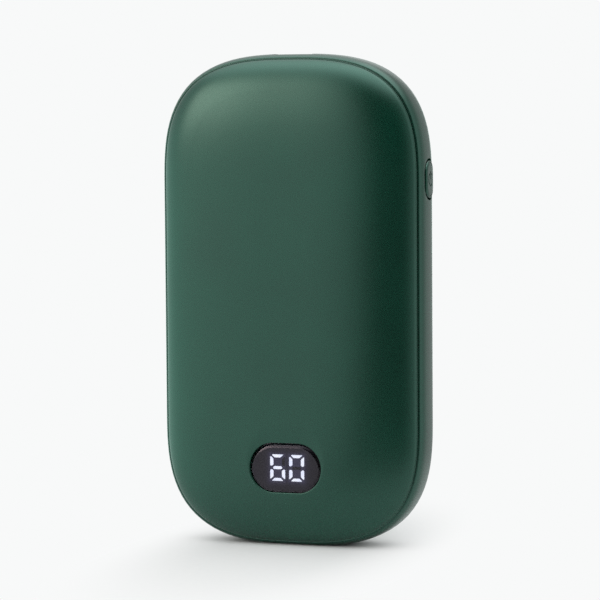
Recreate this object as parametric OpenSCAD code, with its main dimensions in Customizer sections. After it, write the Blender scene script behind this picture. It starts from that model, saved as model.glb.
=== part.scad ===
// Rechargeable hand warmer: a flat, rounded, two-shell case that stands on its bottom end.
// Millimetres. +X is the side with the button, -Y is the front with the display, +Z is up.
// The origin is the centre of the flat foot. Y = 0 is the widest plane of the case.

/* [Cell] */
// Width of the lithium polymer cell
cell_width = 44; // [38:0.5:50]
// Length of the cell
cell_length = 64; // [54:0.5:72]
// Thickness of the cell
cell_thickness = 10.4; // [9:0.1:12]
// Clearance of the cell in its pocket
cell_clearance = 0.3; // [0.2:0.05:0.4]

/* [Body] */
// Room from the side of the cell to the widest point of the case
side_room = 9.3; // [8.5:0.1:11]
// Room from the upper end of the cell to the top of the case
top_room = 12; // [11.5:0.5:14]
// Room from the face of the cell to the middle of the front cover
front_room = 4.4; // [4.2:0.1:5.2]
// Room from the back of the cell to the middle of the back
rear_room = 4.4; // [4.2:0.1:5.2]
// Height over which each end of the case rounds off
corner_run = 29.6; // [29:0.1:31]
// Power of the superelliptic outline, 2 would be an ellipse
outline_power = 2.9; // [2.8:0.05:3.2]
// Power of the superelliptic edge from the side to the faces
edge_power = 3.4; // [3.3:0.05:3.8]
// Wall thickness of both shells
wall = 1.7; // [1.5:0.05:1.8]
// Height cut off the bottom end for the foot
foot_cut = 0.45; // [0.3:0.05:0.6]

/* [Seam] */
// Distance of the parting line in front of the widest plane
seam_offset = 5; // [4.6:0.1:5.4]
// Width of the dark groove between the shells
seam_gap = 0.4; // [0.2:0.05:0.6]
// Height of the rear shell's tongue above the parting line
tongue_height = 1.4; // [1.2:0.1:1.6]
// Depth of the tongue's face below the outer surface
tongue_inset = 1; // [0.9:0.05:1.1]
// Clearance between the tongue and the rebate it enters
tongue_clearance = 0.1; // [0.05:0.05:0.15]
// Height of the snap bead that runs round the tongue
snap_bead = 0.12; // [0.05:0.01:0.2]

/* [Display window] */
// Width of the window opening
window_width = 17; // [16:0.1:18.4]
// Height of the window opening
window_height = 11.3; // [11:0.1:12]
// Height of the window centre above the bottom end of the case
window_rise = 18.6; // [17:0.1:20]
// Distance of the lens face behind the front of the cover
lens_set_back = 0.4; // [0.3:0.05:0.5]
// Full thickness of the lens with its flange
lens_thickness = 1.4; // [1.3:0.05:1.5]
// Gap round the lens in its opening
lens_gap = 0.1; // [0.05:0.05:0.2]
// Width of the flange that keeps the lens behind its opening
lens_flange_rim = 1.2; // [1:0.1:1.4]
// Thickness of that flange
lens_flange_thickness = 0.45; // [0.4:0.05:0.6]
// Thickness of the adhesive ring under the flange
adhesive_thickness = 0.12; // [0.05:0.01:0.2]

/* [Digits] */
// Width of one digit
digit_width = 3.7; // [3.4:0.1:3.9]
// Height of one digit
digit_height = 6.45; // [6:0.05:7]
// Distance between the centres of the two digits
digit_pitch = 4.55; // [4.3:0.05:4.8]
// Width of one light segment
segment_width = 0.9; // [0.7:0.05:1]
// Gap between neighbouring segments
segment_gap = 0.22; // [0.15:0.01:0.3]
// Depth of a segment's light guide
segment_depth = 0.5; // [0.3:0.1:0.8]
// Distance of the digits below the window centre
digits_drop = 0.15; // [0:0.05:0.3]
// Width of the display block
display_width = 15.2; // [14.8:0.1:15.6]
// Height of the display block
display_height = 9.9; // [9.6:0.1:10.3]
// Gap between the display block and the board that its pins bridge
display_stand_off = 0.5; // [0.3:0.1:1]

/* [Side button] */
// Front to back size of the button's hole
button_hole_width = 6.8; // [6.4:0.1:7.2]
// Height of the button's hole
button_hole_height = 9.4; // [9:0.1:10]
// Distance of the button's centre below the top of the case
button_drop = 28.4; // [27:0.1:32]
// Distance of the button's centre behind the widest plane
button_set = 0.6; // [0.4:0.1:0.8]
// Gap round the button
button_gap = 0.35; // [0.25:0.05:0.45]
// How far the button stands proud of the side
button_proud = 0.25; // [0.1:0.05:0.4]
// How far the button can be pressed
button_travel = 0.35; // [0.2:0.05:0.4]
// Rim of the flange that keeps the button in the case
button_flange_rim = 0.9; // [0.7:0.1:1]
// Thickness of that flange
button_flange_thickness = 0.8; // [0.7:0.05:0.9]
// Outer diameter of the engraved power symbol
icon_diameter = 3.2; // [2.8:0.1:3.6]
// Line width of the symbol
icon_line = 0.4; // [0.3:0.05:0.5]
// Depth of the engraving
icon_depth = 0.2; // [0.1:0.05:0.3]

/* [Charging port] */
// Width of the port's steel shell
port_width = 8.94; // [8.9:0.01:9]
// Height of the port's steel shell
port_height = 3.2; // [3.16:0.01:3.26]
// Length of the port's steel shell
port_length = 7.35; // [7:0.05:8]
// Thickness of the port's steel
port_steel = 0.3; // [0.25:0.05:0.35]
// Distance of the port's mouth above the foot
port_set_in = 0.5; // [0.3:0.05:0.8]
// Clearance of the case round the port
port_clearance = 0.25; // [0.15:0.05:0.35]

/* [Lanyard recess] */
// Width of the recess in the top edge
recess_width = 9.6; // [8:0.1:9.8]
// Distance of the recess's front wall behind the widest plane
recess_front = 1.7; // [1.5:0.1:1.9]
// Depth of the recess floor below the top of the case
recess_depth = 5.6; // [5.4:0.1:5.8]
// Wall thickness round the recess
recess_wall = 1.2; // [1:0.1:1.4]
// Distance of the lead-in's edge in front of the widest plane
lead_in_front = 3.1; // [2.6:0.1:3.4]
// Depth of that edge below the top of the case
lead_in_drop = 0.17; // [0.12:0.01:0.22]
// Slope of the lead-in towards the recess, in degrees
lead_in_slope = 6; // [4:0.5:7]
// Diameter of the steel bar
bar_diameter = 2; // [1.6:0.1:2.2]
// Distance of the bar behind the widest plane
bar_set = 4.7; // [4.5:0.1:4.8]
// Depth of the bar's centre below the top of the case
bar_drop = 2.9; // [2.8:0.05:3]

/* [Battery] */
// Height of the nickel tabs between the cell and its protection board
tab_height = 1; // [0.8:0.1:1.2]
// Width of the protection board
protection_width = 30; // [24:1:34]
// Front to back size of the protection board
protection_depth = 4; // [3.5:0.1:4.5]

/* [Heaters] */
// Gap between a heat plate and its shell
plate_gap = 0.15; // [0.1:0.05:0.2]
// Thickness of a heat plate
plate_thickness = 0.5; // [0.4:0.05:0.6]
// Gap between the stacked heater layers
layer_gap = 0.08; // [0.05:0.01:0.1]
// Thickness of a heater film
film_thickness = 0.2; // [0.15:0.05:0.25]
// Distance of the heater films' upper end below the top of the cell
heater_end_gap = 1; // [0.5:0.5:6]
// Length of film that stays bare at the lower end, for its solder joints
film_tail = 4.6; // [4:0.1:5]

/* [Carrier and boards] */
// Half the front to back size of the carrier
carrier_half = 4; // [3.8:0.1:4.2]
// Wall thickness of the carrier
carrier_wall = 1.2; // [1:0.1:1.3]
// Thickness of the main circuit board
board_thickness = 1; // [0.8:0.1:1.2]
// How much narrower than the cell the main circuit board is, on each side
board_narrow = 3; // [2.5:0.5:5]
// Gap between the board's lower end and the bottom of the case
board_end_gap = 3; // [2.8:0.1:3.4]
// Gap for leads between the cell wall and the board
lead_gap = 2.2; // [2:0.1:2.4]
// Thickness of the side switch's board
switch_board_thickness = 0.8; // [0.6:0.1:1]
// How far the plunger stands out of the side switch's body
plunger_stand_out = 1; // [0.8:0.05:1.2]
// Width and height of the side switch's body
switch_size = 6; // [5:0.1:6.2]
// Diameter of the switch plunger
plunger_diameter = 3; // [2.6:0.1:3.2]

/* [Hidden] */
$fn = 48;

// The case wraps the cell and the stack below it, so its outer size follows from them
body_width = cell_width + 2 * side_room;
front_depth = cell_thickness / 2 + front_room;
rear_depth = cell_thickness / 2 + rear_room;
protection_thickness = 0.8;
protection_room = 0.9;
connector_length = 4;
connector_edge = 0.8;
connector_drop = 1.7;
board_top_rise = window_rise - digits_drop + display_height / 2 + connector_drop + connector_length
    + connector_edge;
cell_rise = board_top_rise + lead_gap + carrier_wall + protection_room + protection_thickness + tab_height;
body_height = cell_rise + cell_length + top_room;
half_width = body_width / 2;
half_height = body_height / 2;
centre_height = half_height - foot_cut;
straight_half = half_height - corner_run;
overrun = 20;
bite = 0.3;
touch = 0.05;

// Points on a quarter of an outline, and the angle at which a face turns flat
quarter_points = 17;
inner_quarter_points = 9;
pole_angle = 86;
outer_steps = 8;
inner_steps = 6;
layer_steps = 4;

shell_green = "#14453a";
black_plastic = "#232226";
cream_plastic = "#d9d6cc";
board_green = "#1f5b3a";
steel = "#b9bcc0";

// Seam levels, measured in front of the widest plane
front_rim = seam_offset + seam_gap / 2;
rear_rim = seam_offset - seam_gap / 2;
tongue_end = seam_offset + tongue_height;
bead_middle = (front_rim + tongue_end) / 2;
bead_half = (tongue_end - front_rim) / 5;
rebate_inset = tongue_inset - tongue_clearance;
rebate_end = tongue_end + tongue_clearance;

// Lens and display levels along Y
lens_face = -front_depth + lens_set_back;
lens_back = lens_face + lens_thickness;
lens_flange_front = lens_back - lens_flange_thickness;
lens_seat = lens_flange_front - adhesive_thickness;
lens_flange = [window_width + 2 * lens_flange_rim, window_height + 2 * lens_flange_rim];
flange_opening = [lens_flange[0] + 2 * lens_gap, lens_flange[1] + 2 * lens_gap];
display_gap = 0.1;
display_face = lens_back + display_gap;
window_z = -half_height + window_rise;
display_z = window_z - digits_drop;

// Charging port and main board levels
board_back = -port_height / 2;
board_front = board_back - board_thickness;
display_back = board_front - display_stand_off;
board_top = -half_height + board_top_rise;
board_bottom = -half_height + board_end_gap;
board_width = cell_width - 2 * board_narrow;
port_mouth = -centre_height + port_set_in;
port_top = port_mouth + port_length;

// Cell, its protection board and the carrier round them
cell_bottom = -half_height + cell_rise;
cell_top = cell_bottom + cell_length;
protection_top = cell_bottom - tab_height;
protection_bottom = protection_top - protection_thickness;
pocket_bottom = protection_bottom - protection_room;
pocket_top = cell_top + cell_clearance;
pocket_half = cell_width / 2 + cell_clearance;
carrier_side = pocket_half + carrier_wall;
carrier_bottom = pocket_bottom - carrier_wall;
carrier_top = pocket_top + carrier_wall;
carrier_inset = 2.1;
carrier_share = 0.96;
board_inset = 3.2;
board_share = 0.97;
board_side_gap = 0.4;
bay_half = board_width / 2 + board_side_gap;
notch_half = 4.4;
switch_notch_height = 3.4;
web_drop = 0.9;
web_top = board_top - web_drop;
web_front = carrier_half - carrier_wall;

// Screws: the frame screws clamp the carrier on the rear shell, the board screws hold the main board
frame_lug_radius = 2.7;
frame_lug_thickness = 3;
frame_screw_inset = 1;
frame_screw_side = carrier_side - frame_screw_inset;
frame_screw_drop = 2.1;
frame_screw_low = carrier_bottom - frame_screw_drop;
frame_screw_top_side = 13;
frame_screw_top_gap = 2.8;
frame_screw_high = carrier_top + frame_screw_top_gap;
frame_screw_radius = 1;
frame_head_radius = 1.9;
frame_head_height = 1.2;
frame_screw_grip = 2.4;
pilot_clearance = 0.05;
screw_clearance = 0.15;
shell_boss_radius = 2.2;
board_boss_radius = 2;
board_screw_radius = 0.8;
board_head_radius = 1.4;
board_head_height = 0.9;
board_screw_edge = 2.4;
board_screw_side = board_width / 2 - board_screw_edge;
board_screw_low_side = 12.6;
board_screw_high = board_top - board_screw_edge;
board_screw_rise = 6.5;
board_screw_low = board_bottom + board_screw_rise;
board_screw_length = 4.2;
drive_width = 0.35;
drive_depth = 0.4;

// Side switch, from the case wall inwards
button_pad = 1;
button_pad_rim = 1;
button_seat = half_width - wall - button_pad;
button_flange_out = button_seat - touch;
button_flange_in = button_flange_out - button_flange_thickness;
button_nub = 0.2;
button_nub_radius = 1.3;
nub_end = button_flange_in - button_nub;
button_width = button_hole_width - 2 * button_gap;
button_height = button_hole_height - 2 * button_gap;
button_z = half_height - button_drop;
well_clearance = 0.4;
plunger_tip = nub_end - touch;
switch_board_in = carrier_side;
switch_in = switch_board_in + switch_board_thickness;
switch_out = plunger_tip - plunger_stand_out;
cover_thickness = 0.2;
cover_inset = 0.2;
plunger_bury = 0.5;
plunger_running = 0.05;
plunger_room = 0.25;
switch_recess = plunger_bury + button_travel + plunger_room;
switch_board_width = 8;
switch_board_height = 14;
rail_width = 1.2;
rail_height = 1.8;
rail_length = 2.4;

// Heater layers, as insets from the outer surface
plate_outer = wall + plate_gap;
plate_inner = plate_outer + plate_thickness;
film_outer = plate_inner + layer_gap;
film_inner = film_outer + film_thickness;
pad_outer = film_inner + layer_gap;
plate_edge_share = 0.82;
film_edge_share = 0.7;
pad_edge_share = 0.66;
film_end_gap = 0.4;
film_bottom = cell_bottom + film_end_gap;
heater_top = cell_top - heater_end_gap;
pad_bottom = film_bottom + film_tail;

// Connectors, chips and leads on the main board
connector_width = 5.4;
connector_depth = 3.2;
connector_wall = 0.6;
connector_cavity = 2.6;
connector_top = board_top - connector_edge;
connector_y = board_front - connector_depth / 2;
battery_connector_gap = 2.1;
heater_connector_gap = 1.5;
connectors_apart = 0.8;
screw_head_side = board_screw_side - board_head_radius;
battery_connector_x = -screw_head_side + battery_connector_gap + connector_width / 2;
rear_heater_x = screw_head_side - heater_connector_gap - connector_width / 2;
front_heater_x = rear_heater_x - connector_width - connectors_apart;
lead_radius = 0.45;
power_lead_radius = 0.6;
sensor_lead_radius = 0.25;
lead_spacing = 1.2;
sensor_spacing = 0.7;
power_spacing = 2;
lead_sides = 8;
spline_steps = 3;
bead_radius = 0.65;
sensor_x = -4;

// Share of the outline's size that is left at a distance from the widest plane
function share_at(y, depth) = pow(1 - pow(y / depth, edge_power), 1 / edge_power);
function edge_share(angle) = pow(cos(angle), 2 / edge_power);
function edge_rise(angle) = pow(sin(angle), 2 / edge_power);
function angle_at(y, depth) = asin(pow(y / depth, edge_power / 2));
function angle_of_share(share) = acos(pow(share, edge_power / 2));
function between(first, last, steps) = [for (i = [0:steps]) first + (last - first) * i / steps];

// One closed outline: inset is the distance below the outer surface, share scales it towards the middle
function outline(inset, share, points = quarter_points) =
    let (a = (half_width - inset) * share, r = (corner_run - inset) * share, p = 2 / outline_power)
    [for (q = [0:3]) for (i = [q % 2:points - 1])
        let (t = 90 * (q % 2 == 0 ? i : points - 1 - i) / (points - 1),
             side = q == 0 || q == 3 ? 1 : -1, end = q < 2 ? 1 : -1)
        [side * a * pow(cos(t), p), end * (straight_half + r * pow(sin(t), p))]];
function ring(inset, share, y, points = quarter_points) =
    [for (p = outline(inset, share, points)) [p[0], y, p[1]]];
// Rings of the front surface and the rear surface at an angle of the edge profile
function front_ring(inset, angle, points = quarter_points) =
    ring(inset, edge_share(angle), -(front_depth - inset) * edge_rise(angle), points);
function rear_ring(inset, angle, points = quarter_points) =
    ring(inset, edge_share(angle), (rear_depth - inset) * edge_rise(angle), points);
// Ring of the front surface at a distance in front of the widest plane
function level_ring(inset, y) = ring(inset, share_at(y, front_depth - inset), -y);

// Solid between a row of rings with as many points each, capped at both ends
module loft(rings) {
    n = len(rings[0]);
    last = len(rings) - 1;
    polyhedron(
        points = [for (r = rings) each r],
        faces = concat(
            [[for (i = [n - 1:-1:0]) i]],
            [for (k = [0:last - 1]) for (i = [0:n - 1]) let (j = (i + 1) % n, a = k * n, b = a + n)
                each [[a + i, a + j, b + j], [a + i, b + j, b + i]]],
            [[for (i = [0:n - 1]) last * n + i]]));
}

// Plate between two levels along Y, drawn in X and Z
module slab(y_front, y_back) {
    translate([0, y_back, 0]) rotate([90, 0, 0]) linear_extrude(y_back - y_front) children();
}
// Plate between two levels along X, drawn in Y and Z
module side_slab(x_in, x_out) {
    translate([x_in, 0, 0]) rotate([90, 0, 90]) linear_extrude(x_out - x_in) children();
}
module obround(width, height) {
    r = min(width, height) / 2;
    along = [max(width - 2 * r, 0), max(height - 2 * r, 0)];
    square([max(along[0], 2 * r * sign(along[1])), max(along[1], 2 * r * sign(along[0]))], center = true);
    for (s = [-1, 1]) translate(s * along / 2) circle(r = r);
}
module rod(y_front, y_back, radius) {
    translate([0, y_back, 0]) rotate([90, 0, 0]) cylinder(h = y_back - y_front, r = radius);
}
module at_window() { translate([0, 0, window_z]) children(); }
module at_button() { translate([0, button_set, button_z]) children(); }
module raised() { translate([0, 0, centre_height]) children(); }
module at_frame_screws() {
    for (s = [-1, 1]) {
        translate([s * frame_screw_side, 0, frame_screw_low]) children();
        translate([s * frame_screw_top_side, 0, frame_screw_high]) children();
    }
}
module at_board_screws() {
    for (s = [-1, 1]) {
        translate([s * board_screw_side, 0, board_screw_high]) children();
        translate([s * board_screw_low_side, 0, board_screw_low]) children();
    }
}
// Pan head screw with a cross drive, its head at y_head, its tip towards +Y
module pan_screw(y_head, head_height, head_radius, radius, y_tip) {
    difference() {
        union() {
            rod(y_head - head_height, y_head, head_radius);
            rod(y_head - bite, y_tip, radius);
        }
        for (turn = [0, 90]) rotate([0, turn, 0])
            translate([-head_radius / 2, y_head - head_height - overrun, -drive_width / 2])
                cube([head_radius, overrun + drive_depth, drive_width]);
    }
}

// The whole closed body at an inset, in few facets
module core(inset) {
    step = pole_angle / inner_steps;
    loft(concat(
        [for (a = between(pole_angle, 0, inner_steps)) front_ring(inset, a)],
        [for (a = between(step, pole_angle, inner_steps - 1)) rear_ring(inset, a)]));
}

// The front cover: face, seam rim, rebate for the tongue and its bead, inner face
module front_shell() {
    rim_angle = angle_at(front_rim, front_depth);
    inner_angle = angle_at(rebate_end, front_depth - wall);
    color(shell_green) raised() difference() {
        loft(concat(
            [for (a = between(pole_angle, rim_angle, outer_steps)) front_ring(0, a)],
            [level_ring(rebate_inset, front_rim), level_ring(rebate_inset, bead_middle - bead_half),
             level_ring(rebate_inset - snap_bead, bead_middle),
             level_ring(rebate_inset, bead_middle + bead_half), level_ring(rebate_inset, rebate_end)],
            [for (a = between(inner_angle, pole_angle, inner_steps)) front_ring(wall, a)]));
        at_window() slab(-front_depth - overrun, 0) obround(window_width, window_height);
        at_window() slab(lens_seat, 0) obround(flange_opening[0], flange_opening[1]);
    }
}

// Middle of the rear wall at a height, used by the walls of the lanyard recess
function wall_middle(z) =
    (rear_depth - wall / 2) * share_at(max(z - straight_half, 0), corner_run - wall / 2);
module recess_housing() {
    low = half_height - recess_depth - recess_wall;
    high = half_height - wall / 2 - lead_in_drop;
    front = recess_front - recess_wall;
    steps = 5;
    side_slab(-recess_width / 2 - recess_wall, recess_width / 2 + recess_wall)
        polygon(concat([[front, high], [front, low]],
            [for (z = between(low, high - wall / 2, steps)) [wall_middle(z), z]]));
}
module recess_cut() {
    floor_level = half_height - recess_depth;
    translate([-recess_width / 2, recess_front, floor_level]) cube([recess_width, overrun, overrun]);
    translate([0, -lead_in_front, half_height - lead_in_drop]) rotate([-lead_in_slope, 0, 0])
        translate([-recess_width / 2, 0, 0]) cube([recess_width, overrun, overrun]);
}
module lanyard_bar_shape(length, radius) {
    translate([-length / 2, bar_set, half_height - bar_drop]) rotate([0, 90, 0])
        cylinder(h = length, r = radius);
}
bar_length = recess_width + 2 * (recess_wall - bite);

// The rear shell: inner face, tongue with its bead, seam rim, outer face, foot, button well and recess
module rear_shell() {
    tongue_angle = angle_at(tongue_end, front_depth - wall);
    rim_angle = angle_at(rear_rim, front_depth);
    color(shell_green) raised() difference() {
        union() {
            loft(concat(
                [for (a = between(pole_angle, 0, inner_steps)) rear_ring(wall, a)],
                [for (a = between(tongue_angle / 2, tongue_angle, 1)) front_ring(wall, a)],
                [level_ring(tongue_inset, tongue_end), level_ring(tongue_inset, bead_middle + bead_half),
                 level_ring(tongue_inset - snap_bead, bead_middle),
                 level_ring(tongue_inset, bead_middle - bead_half), level_ring(tongue_inset, rear_rim)],
                [for (a = [rim_angle, rim_angle / 2]) front_ring(0, a)],
                [for (a = between(0, pole_angle, outer_steps)) rear_ring(0, a)]));
            intersection() {
                at_frame_screws() rod(carrier_half, rear_depth, shell_boss_radius);
                core(wall / 2);
            }
            at_button() side_slab(button_seat, half_width - wall + bite)
                square([button_width + 2 * (button_flange_rim + bite),
                    button_height + 2 * (button_flange_rim + button_pad_rim)], center = true);
            recess_housing();
        }
        translate([-half_width, -front_depth, -half_height - overrun])
            cube([body_width, front_depth + rear_depth, overrun + foot_cut]);
        at_button() side_slab(0, half_width + overrun) obround(button_hole_width, button_hole_height);
        at_button() side_slab(carrier_side, button_seat)
            square([button_width + 2 * (button_flange_rim + well_clearance),
                button_height + 2 * (button_flange_rim + well_clearance)], center = true);
        translate([0, 0, -half_height - overrun / 2]) linear_extrude(overrun)
            obround(port_width + 2 * port_clearance, port_height + 2 * port_clearance);
        at_frame_screws()
            rod(0, carrier_half + frame_screw_grip + bite, frame_screw_radius - pilot_clearance);
        recess_cut();
        lanyard_bar_shape(bar_length, bar_diameter / 2);
    }
}

// Smoked window with a flange behind the opening
module display_lens() {
    color("#3a393d") raised() at_window() {
        slab(lens_face, lens_flange_front + touch)
            obround(window_width - 2 * lens_gap, window_height - 2 * lens_gap);
        slab(lens_flange_front, lens_back) obround(lens_flange[0], lens_flange[1]);
    }
}
module lens_adhesive() {
    color("#19191b") raised() at_window() slab(lens_seat, lens_flange_front) difference() {
        obround(lens_flange[0], lens_flange[1]);
        obround(window_width, window_height);
    }
}

// One segment of a digit, centred on the digit. Sides: 0 top, 1 upper right, 2 lower right, 3 bottom,
// 4 lower left, 5 upper left, 6 middle. grow widens it all round, for the opening it sits in.
module segment(place, grow) {
    e = digit_width / 2;
    h = digit_height / 2;
    t = segment_width;
    k = segment_gap / 2 - grow;
    upright = [[e + grow, h - 2 * k], [e - t - grow, h - t - 2 * k], [e - t - grow, t / 2 + 2 * k],
               [e - t / 2, 2 * k], [e + grow, t / 2 + k]];
    level = [[-e + 2 * k, h + grow], [e - 2 * k, h + grow],
             [e - t - 2 * k, h - t - grow], [-e + t + 2 * k, h - t - grow]];
    middle = [[-e + t / 2 + 2 * k, 0], [-e + t + k, t / 2 + grow], [e - t - k, t / 2 + grow],
              [e - t / 2 - 2 * k, 0], [e - t - k, -t / 2 - grow], [-e + t + k, -t / 2 - grow]];
    if (place == 0) polygon(level);
    if (place == 1) polygon(upright);
    if (place == 2) mirror([0, 1]) polygon(upright);
    if (place == 3) mirror([0, 1]) polygon(level);
    if (place == 4) rotate(180) polygon(upright);
    if (place == 5) mirror([1, 0]) polygon(upright);
    if (place == 6) polygon(middle);
}
module segments(left, right, grow) {
    for (p = left) translate([-digit_pitch / 2, 0]) segment(p, grow);
    for (p = right) translate([digit_pitch / 2, 0]) segment(p, grow);
}
module at_digits() { translate([0, 0, display_z]) children(); }
module lit_segments() {
    color("white") raised() at_digits()
        slab(display_face, display_face + segment_depth) segments([0, 2, 3, 4, 5, 6], [0, 1, 2, 3, 4, 5], 0);
}
module unlit_segments() {
    color("#4b4a50") raised() at_digits()
        slab(display_face, display_face + segment_depth) segments([1], [6], 0);
}
module display_housing() {
    slack = 0.01;
    every = [0:6];
    color(black_plastic) raised() at_digits() difference() {
        slab(display_face, display_back) square([display_width, display_height], center = true);
        slab(display_face - touch, display_face + segment_depth + slack) segments(every, every, slack);
    }
}

// Ten pins that carry the display on the board
pin_size = 0.5;
pin_rows_apart = 7.62;
pin_pitch = 2.54;
pin_count = 5;
pin_stand_out = 0.6;
pin_hole_radius = 0.45;
module at_pins() {
    for (row = [-1, 1]) for (i = [0:pin_count - 1])
        translate([(i - (pin_count - 1) / 2) * pin_pitch, 0, display_z + row * pin_rows_apart / 2])
            children();
}
module display_pins() {
    color("#c9b26a") raised() at_pins()
        slab(display_back, board_back + pin_stand_out) square(pin_size, center = true);
}

// Button: a cap that follows the side of the case, a flange behind the wall and a nub for the switch
module power_icon() {
    r = icon_diameter / 2;
    difference() {
        circle(r = r);
        circle(r = r - icon_line);
        translate([-1.5 * icon_line, 0]) square([3 * icon_line, icon_diameter]);
    }
    translate([-icon_line / 2, 0]) square([icon_line, r + icon_line / 2]);
}
module power_button() {
    face = half_width + button_proud;
    color(shell_green) raised() {
        difference() {
            intersection() {
                at_button() side_slab(button_flange_out - touch, face + bite)
                    obround(button_width, button_height);
                core(-button_proud);
            }
            at_button() side_slab(face - icon_depth, face + overrun) power_icon();
        }
        at_button() side_slab(button_flange_in, button_flange_out)
            obround(button_width + 2 * button_flange_rim, button_height + 2 * button_flange_rim);
        at_button() side_slab(nub_end, button_flange_in + touch) circle(r = button_nub_radius);
    }
}

// Side switch: plunger, body, steel cover and the small board that lies on the carrier
module switch_plunger() {
    color("#e4e0d6") raised() at_button() side_slab(switch_out - plunger_bury, plunger_tip)
        circle(r = plunger_diameter / 2);
}
module switch_body() {
    color(black_plastic) raised() at_button() difference() {
        side_slab(switch_in, switch_out) square(switch_size, center = true);
        side_slab(switch_out - switch_recess, switch_out + touch)
            circle(r = plunger_diameter / 2 + plunger_running);
    }
}
module switch_cover() {
    color(steel) raised() at_button() side_slab(switch_out, switch_out + cover_thickness) difference() {
        square(switch_size - 2 * cover_inset, center = true);
        circle(r = plunger_diameter / 2 + plunger_running);
    }
}
module switch_board() {
    color(board_green) raised() at_button() side_slab(switch_board_in, switch_in)
        square([switch_board_width, switch_board_height], center = true);
}

// Carrier: pocket for the cell, bay for the board, bosses, screw lugs and rails for the switch board
module carrier_outline() { polygon(outline(carrier_inset, carrier_share)); }
module wide_square(half, low, high) { translate([-half, low]) square([2 * half, high - low]); }
module inner_frame() {
    color(black_plastic) raised() difference() {
        union() {
            slab(-carrier_half, carrier_half) {
                intersection() {
                    carrier_outline();
                    wide_square(carrier_side, carrier_bottom, carrier_top);
                }
                intersection() {
                    carrier_outline();
                    wide_square(bay_half + carrier_wall, -half_height, carrier_bottom + touch);
                }
            }
            at_frame_screws() rod(carrier_half - frame_lug_thickness, carrier_half, frame_lug_radius);
            slab(carrier_half - frame_lug_thickness, carrier_half) {
                for (s = [-1, 1]) {
                    translate([s * frame_screw_top_side - frame_lug_radius, carrier_top - bite])
                        square([2 * frame_lug_radius, frame_screw_high - carrier_top + bite]);
                    translate([min(s * bay_half, s * frame_screw_side), frame_screw_low - frame_lug_radius])
                        square([frame_screw_side - bay_half, 2 * frame_lug_radius]);
                }
            }
            at_button() for (s = [-1, 1]) for (e = [-1, 1])
                translate([0, e * (switch_board_width - rail_length) / 2,
                    s * (switch_board_height + rail_width) / 2])
                    side_slab(carrier_side - bite, carrier_side + rail_height)
                        square([rail_length, rail_width], center = true);
        }
        slab(-carrier_half - touch, carrier_half + touch) wide_square(pocket_half, pocket_bottom, pocket_top);
        slab(-carrier_half - touch, web_front) wide_square(bay_half, -half_height, carrier_bottom);
        slab(-overrun, carrier_half + touch) wide_square(bay_half, web_top, carrier_bottom);
        translate([battery_connector_x, 0, 0]) slab(-carrier_half - touch, board_back + power_spacing)
            wide_square(notch_half, carrier_bottom - touch, pocket_bottom + touch);
        translate([bay_half - touch, -carrier_half - touch, switch_lead_level - switch_notch_height / 2])
            cube([2 * carrier_wall, carrier_half + port_height / 2, switch_notch_height]);
        at_frame_screws() rod(-overrun, overrun, frame_screw_radius + screw_clearance);
        at_board_screws() rod(-overrun, overrun, board_screw_radius - pilot_clearance);
    }
    color(black_plastic) raised() difference() {
        at_board_screws() rod(board_back, web_front + touch, board_boss_radius);
        at_board_screws() rod(-overrun, overrun, board_screw_radius - pilot_clearance);
    }
}
module frame_screws() {
    color(steel) raised() at_frame_screws() pan_screw(carrier_half - frame_lug_thickness, frame_head_height,
        frame_head_radius, frame_screw_radius - pilot_clearance, carrier_half + frame_screw_grip);
}
module board_screws() {
    color(steel) raised() at_board_screws() pan_screw(board_front, board_head_height, board_head_radius,
        board_screw_radius - pilot_clearance, board_front + board_screw_length);
}

// Main board, with holes for its screws and for the display's pins
module main_board() {
    color(board_green) raised() difference() {
        slab(board_front, board_back) intersection() {
            polygon(outline(board_inset, board_share));
            wide_square(board_width / 2, board_bottom, board_top);
        }
        at_board_screws() rod(-overrun, overrun, board_screw_radius + screw_clearance);
        at_pins() rod(board_front - touch, board_back + touch, pin_hole_radius);
    }
}

// Charging port: drawn steel shell with a closed end, and the tongue in it
module usb_c_shell() {
    inner = [port_width - 2 * port_steel, port_height - 2 * port_steel];
    color(steel) raised() translate([0, 0, port_mouth]) difference() {
        linear_extrude(port_length) obround(port_width, port_height);
        translate([0, 0, -touch]) linear_extrude(port_length - port_steel + touch)
            obround(inner[0], inner[1]);
    }
}
tongue_width = 6.69;
tongue_thickness = 0.7;
tongue_set_in = 0.6;
tongue_root = 1.6;
module usb_c_tongue() {
    inner = [port_width - 2 * port_steel, port_height - 2 * port_steel];
    back = port_top - port_steel;
    color("#1b1b1d") raised() {
        translate([0, 0, back - tongue_root]) linear_extrude(tongue_root)
            obround(inner[0] - touch, inner[1] - touch);
        translate([-tongue_width / 2, -tongue_thickness / 2, port_mouth + tongue_set_in])
            cube([tongue_width, tongue_thickness, back - tongue_root - port_mouth - tongue_set_in + touch]);
    }
}

// Parts on the back of the main board, in two columns beside the display's pins. A share is the part
// of the board's height that lies above the piece.
chip_depth = 0.9;
large_chip = [6, 6];
small_chip = [4, 4];
wide_chip = [5, 4];
inductor_size = 6;
inductor_depth = 2.8;
capacitor_size = [1.2, 2];
capacitor_depth = 0.8;
capacitor_pitch = 2.2;
capacitor_count = 4;
capacitor_rows_apart = 12;
chip_pin_gap = 0.8;
chip_column = (pin_count - 1) / 2 * pin_pitch + pin_size / 2 + chip_pin_gap + large_chip[0] / 2;
upper_share = 0.25;
middle_share = 0.44;
lower_share = 0.6;
module on_back(x, share, depth) {
    translate([x, 0, board_top - share * (board_top - board_bottom)])
        slab(board_back, board_back + depth) children();
}
module control_chips() {
    color("#1d1e20") raised() {
        on_back(-chip_column, upper_share, chip_depth) square(large_chip, center = true);
        on_back(-chip_column, lower_share, chip_depth) square(small_chip, center = true);
        on_back(chip_column, lower_share, chip_depth) square(wide_chip, center = true);
    }
}
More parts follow.
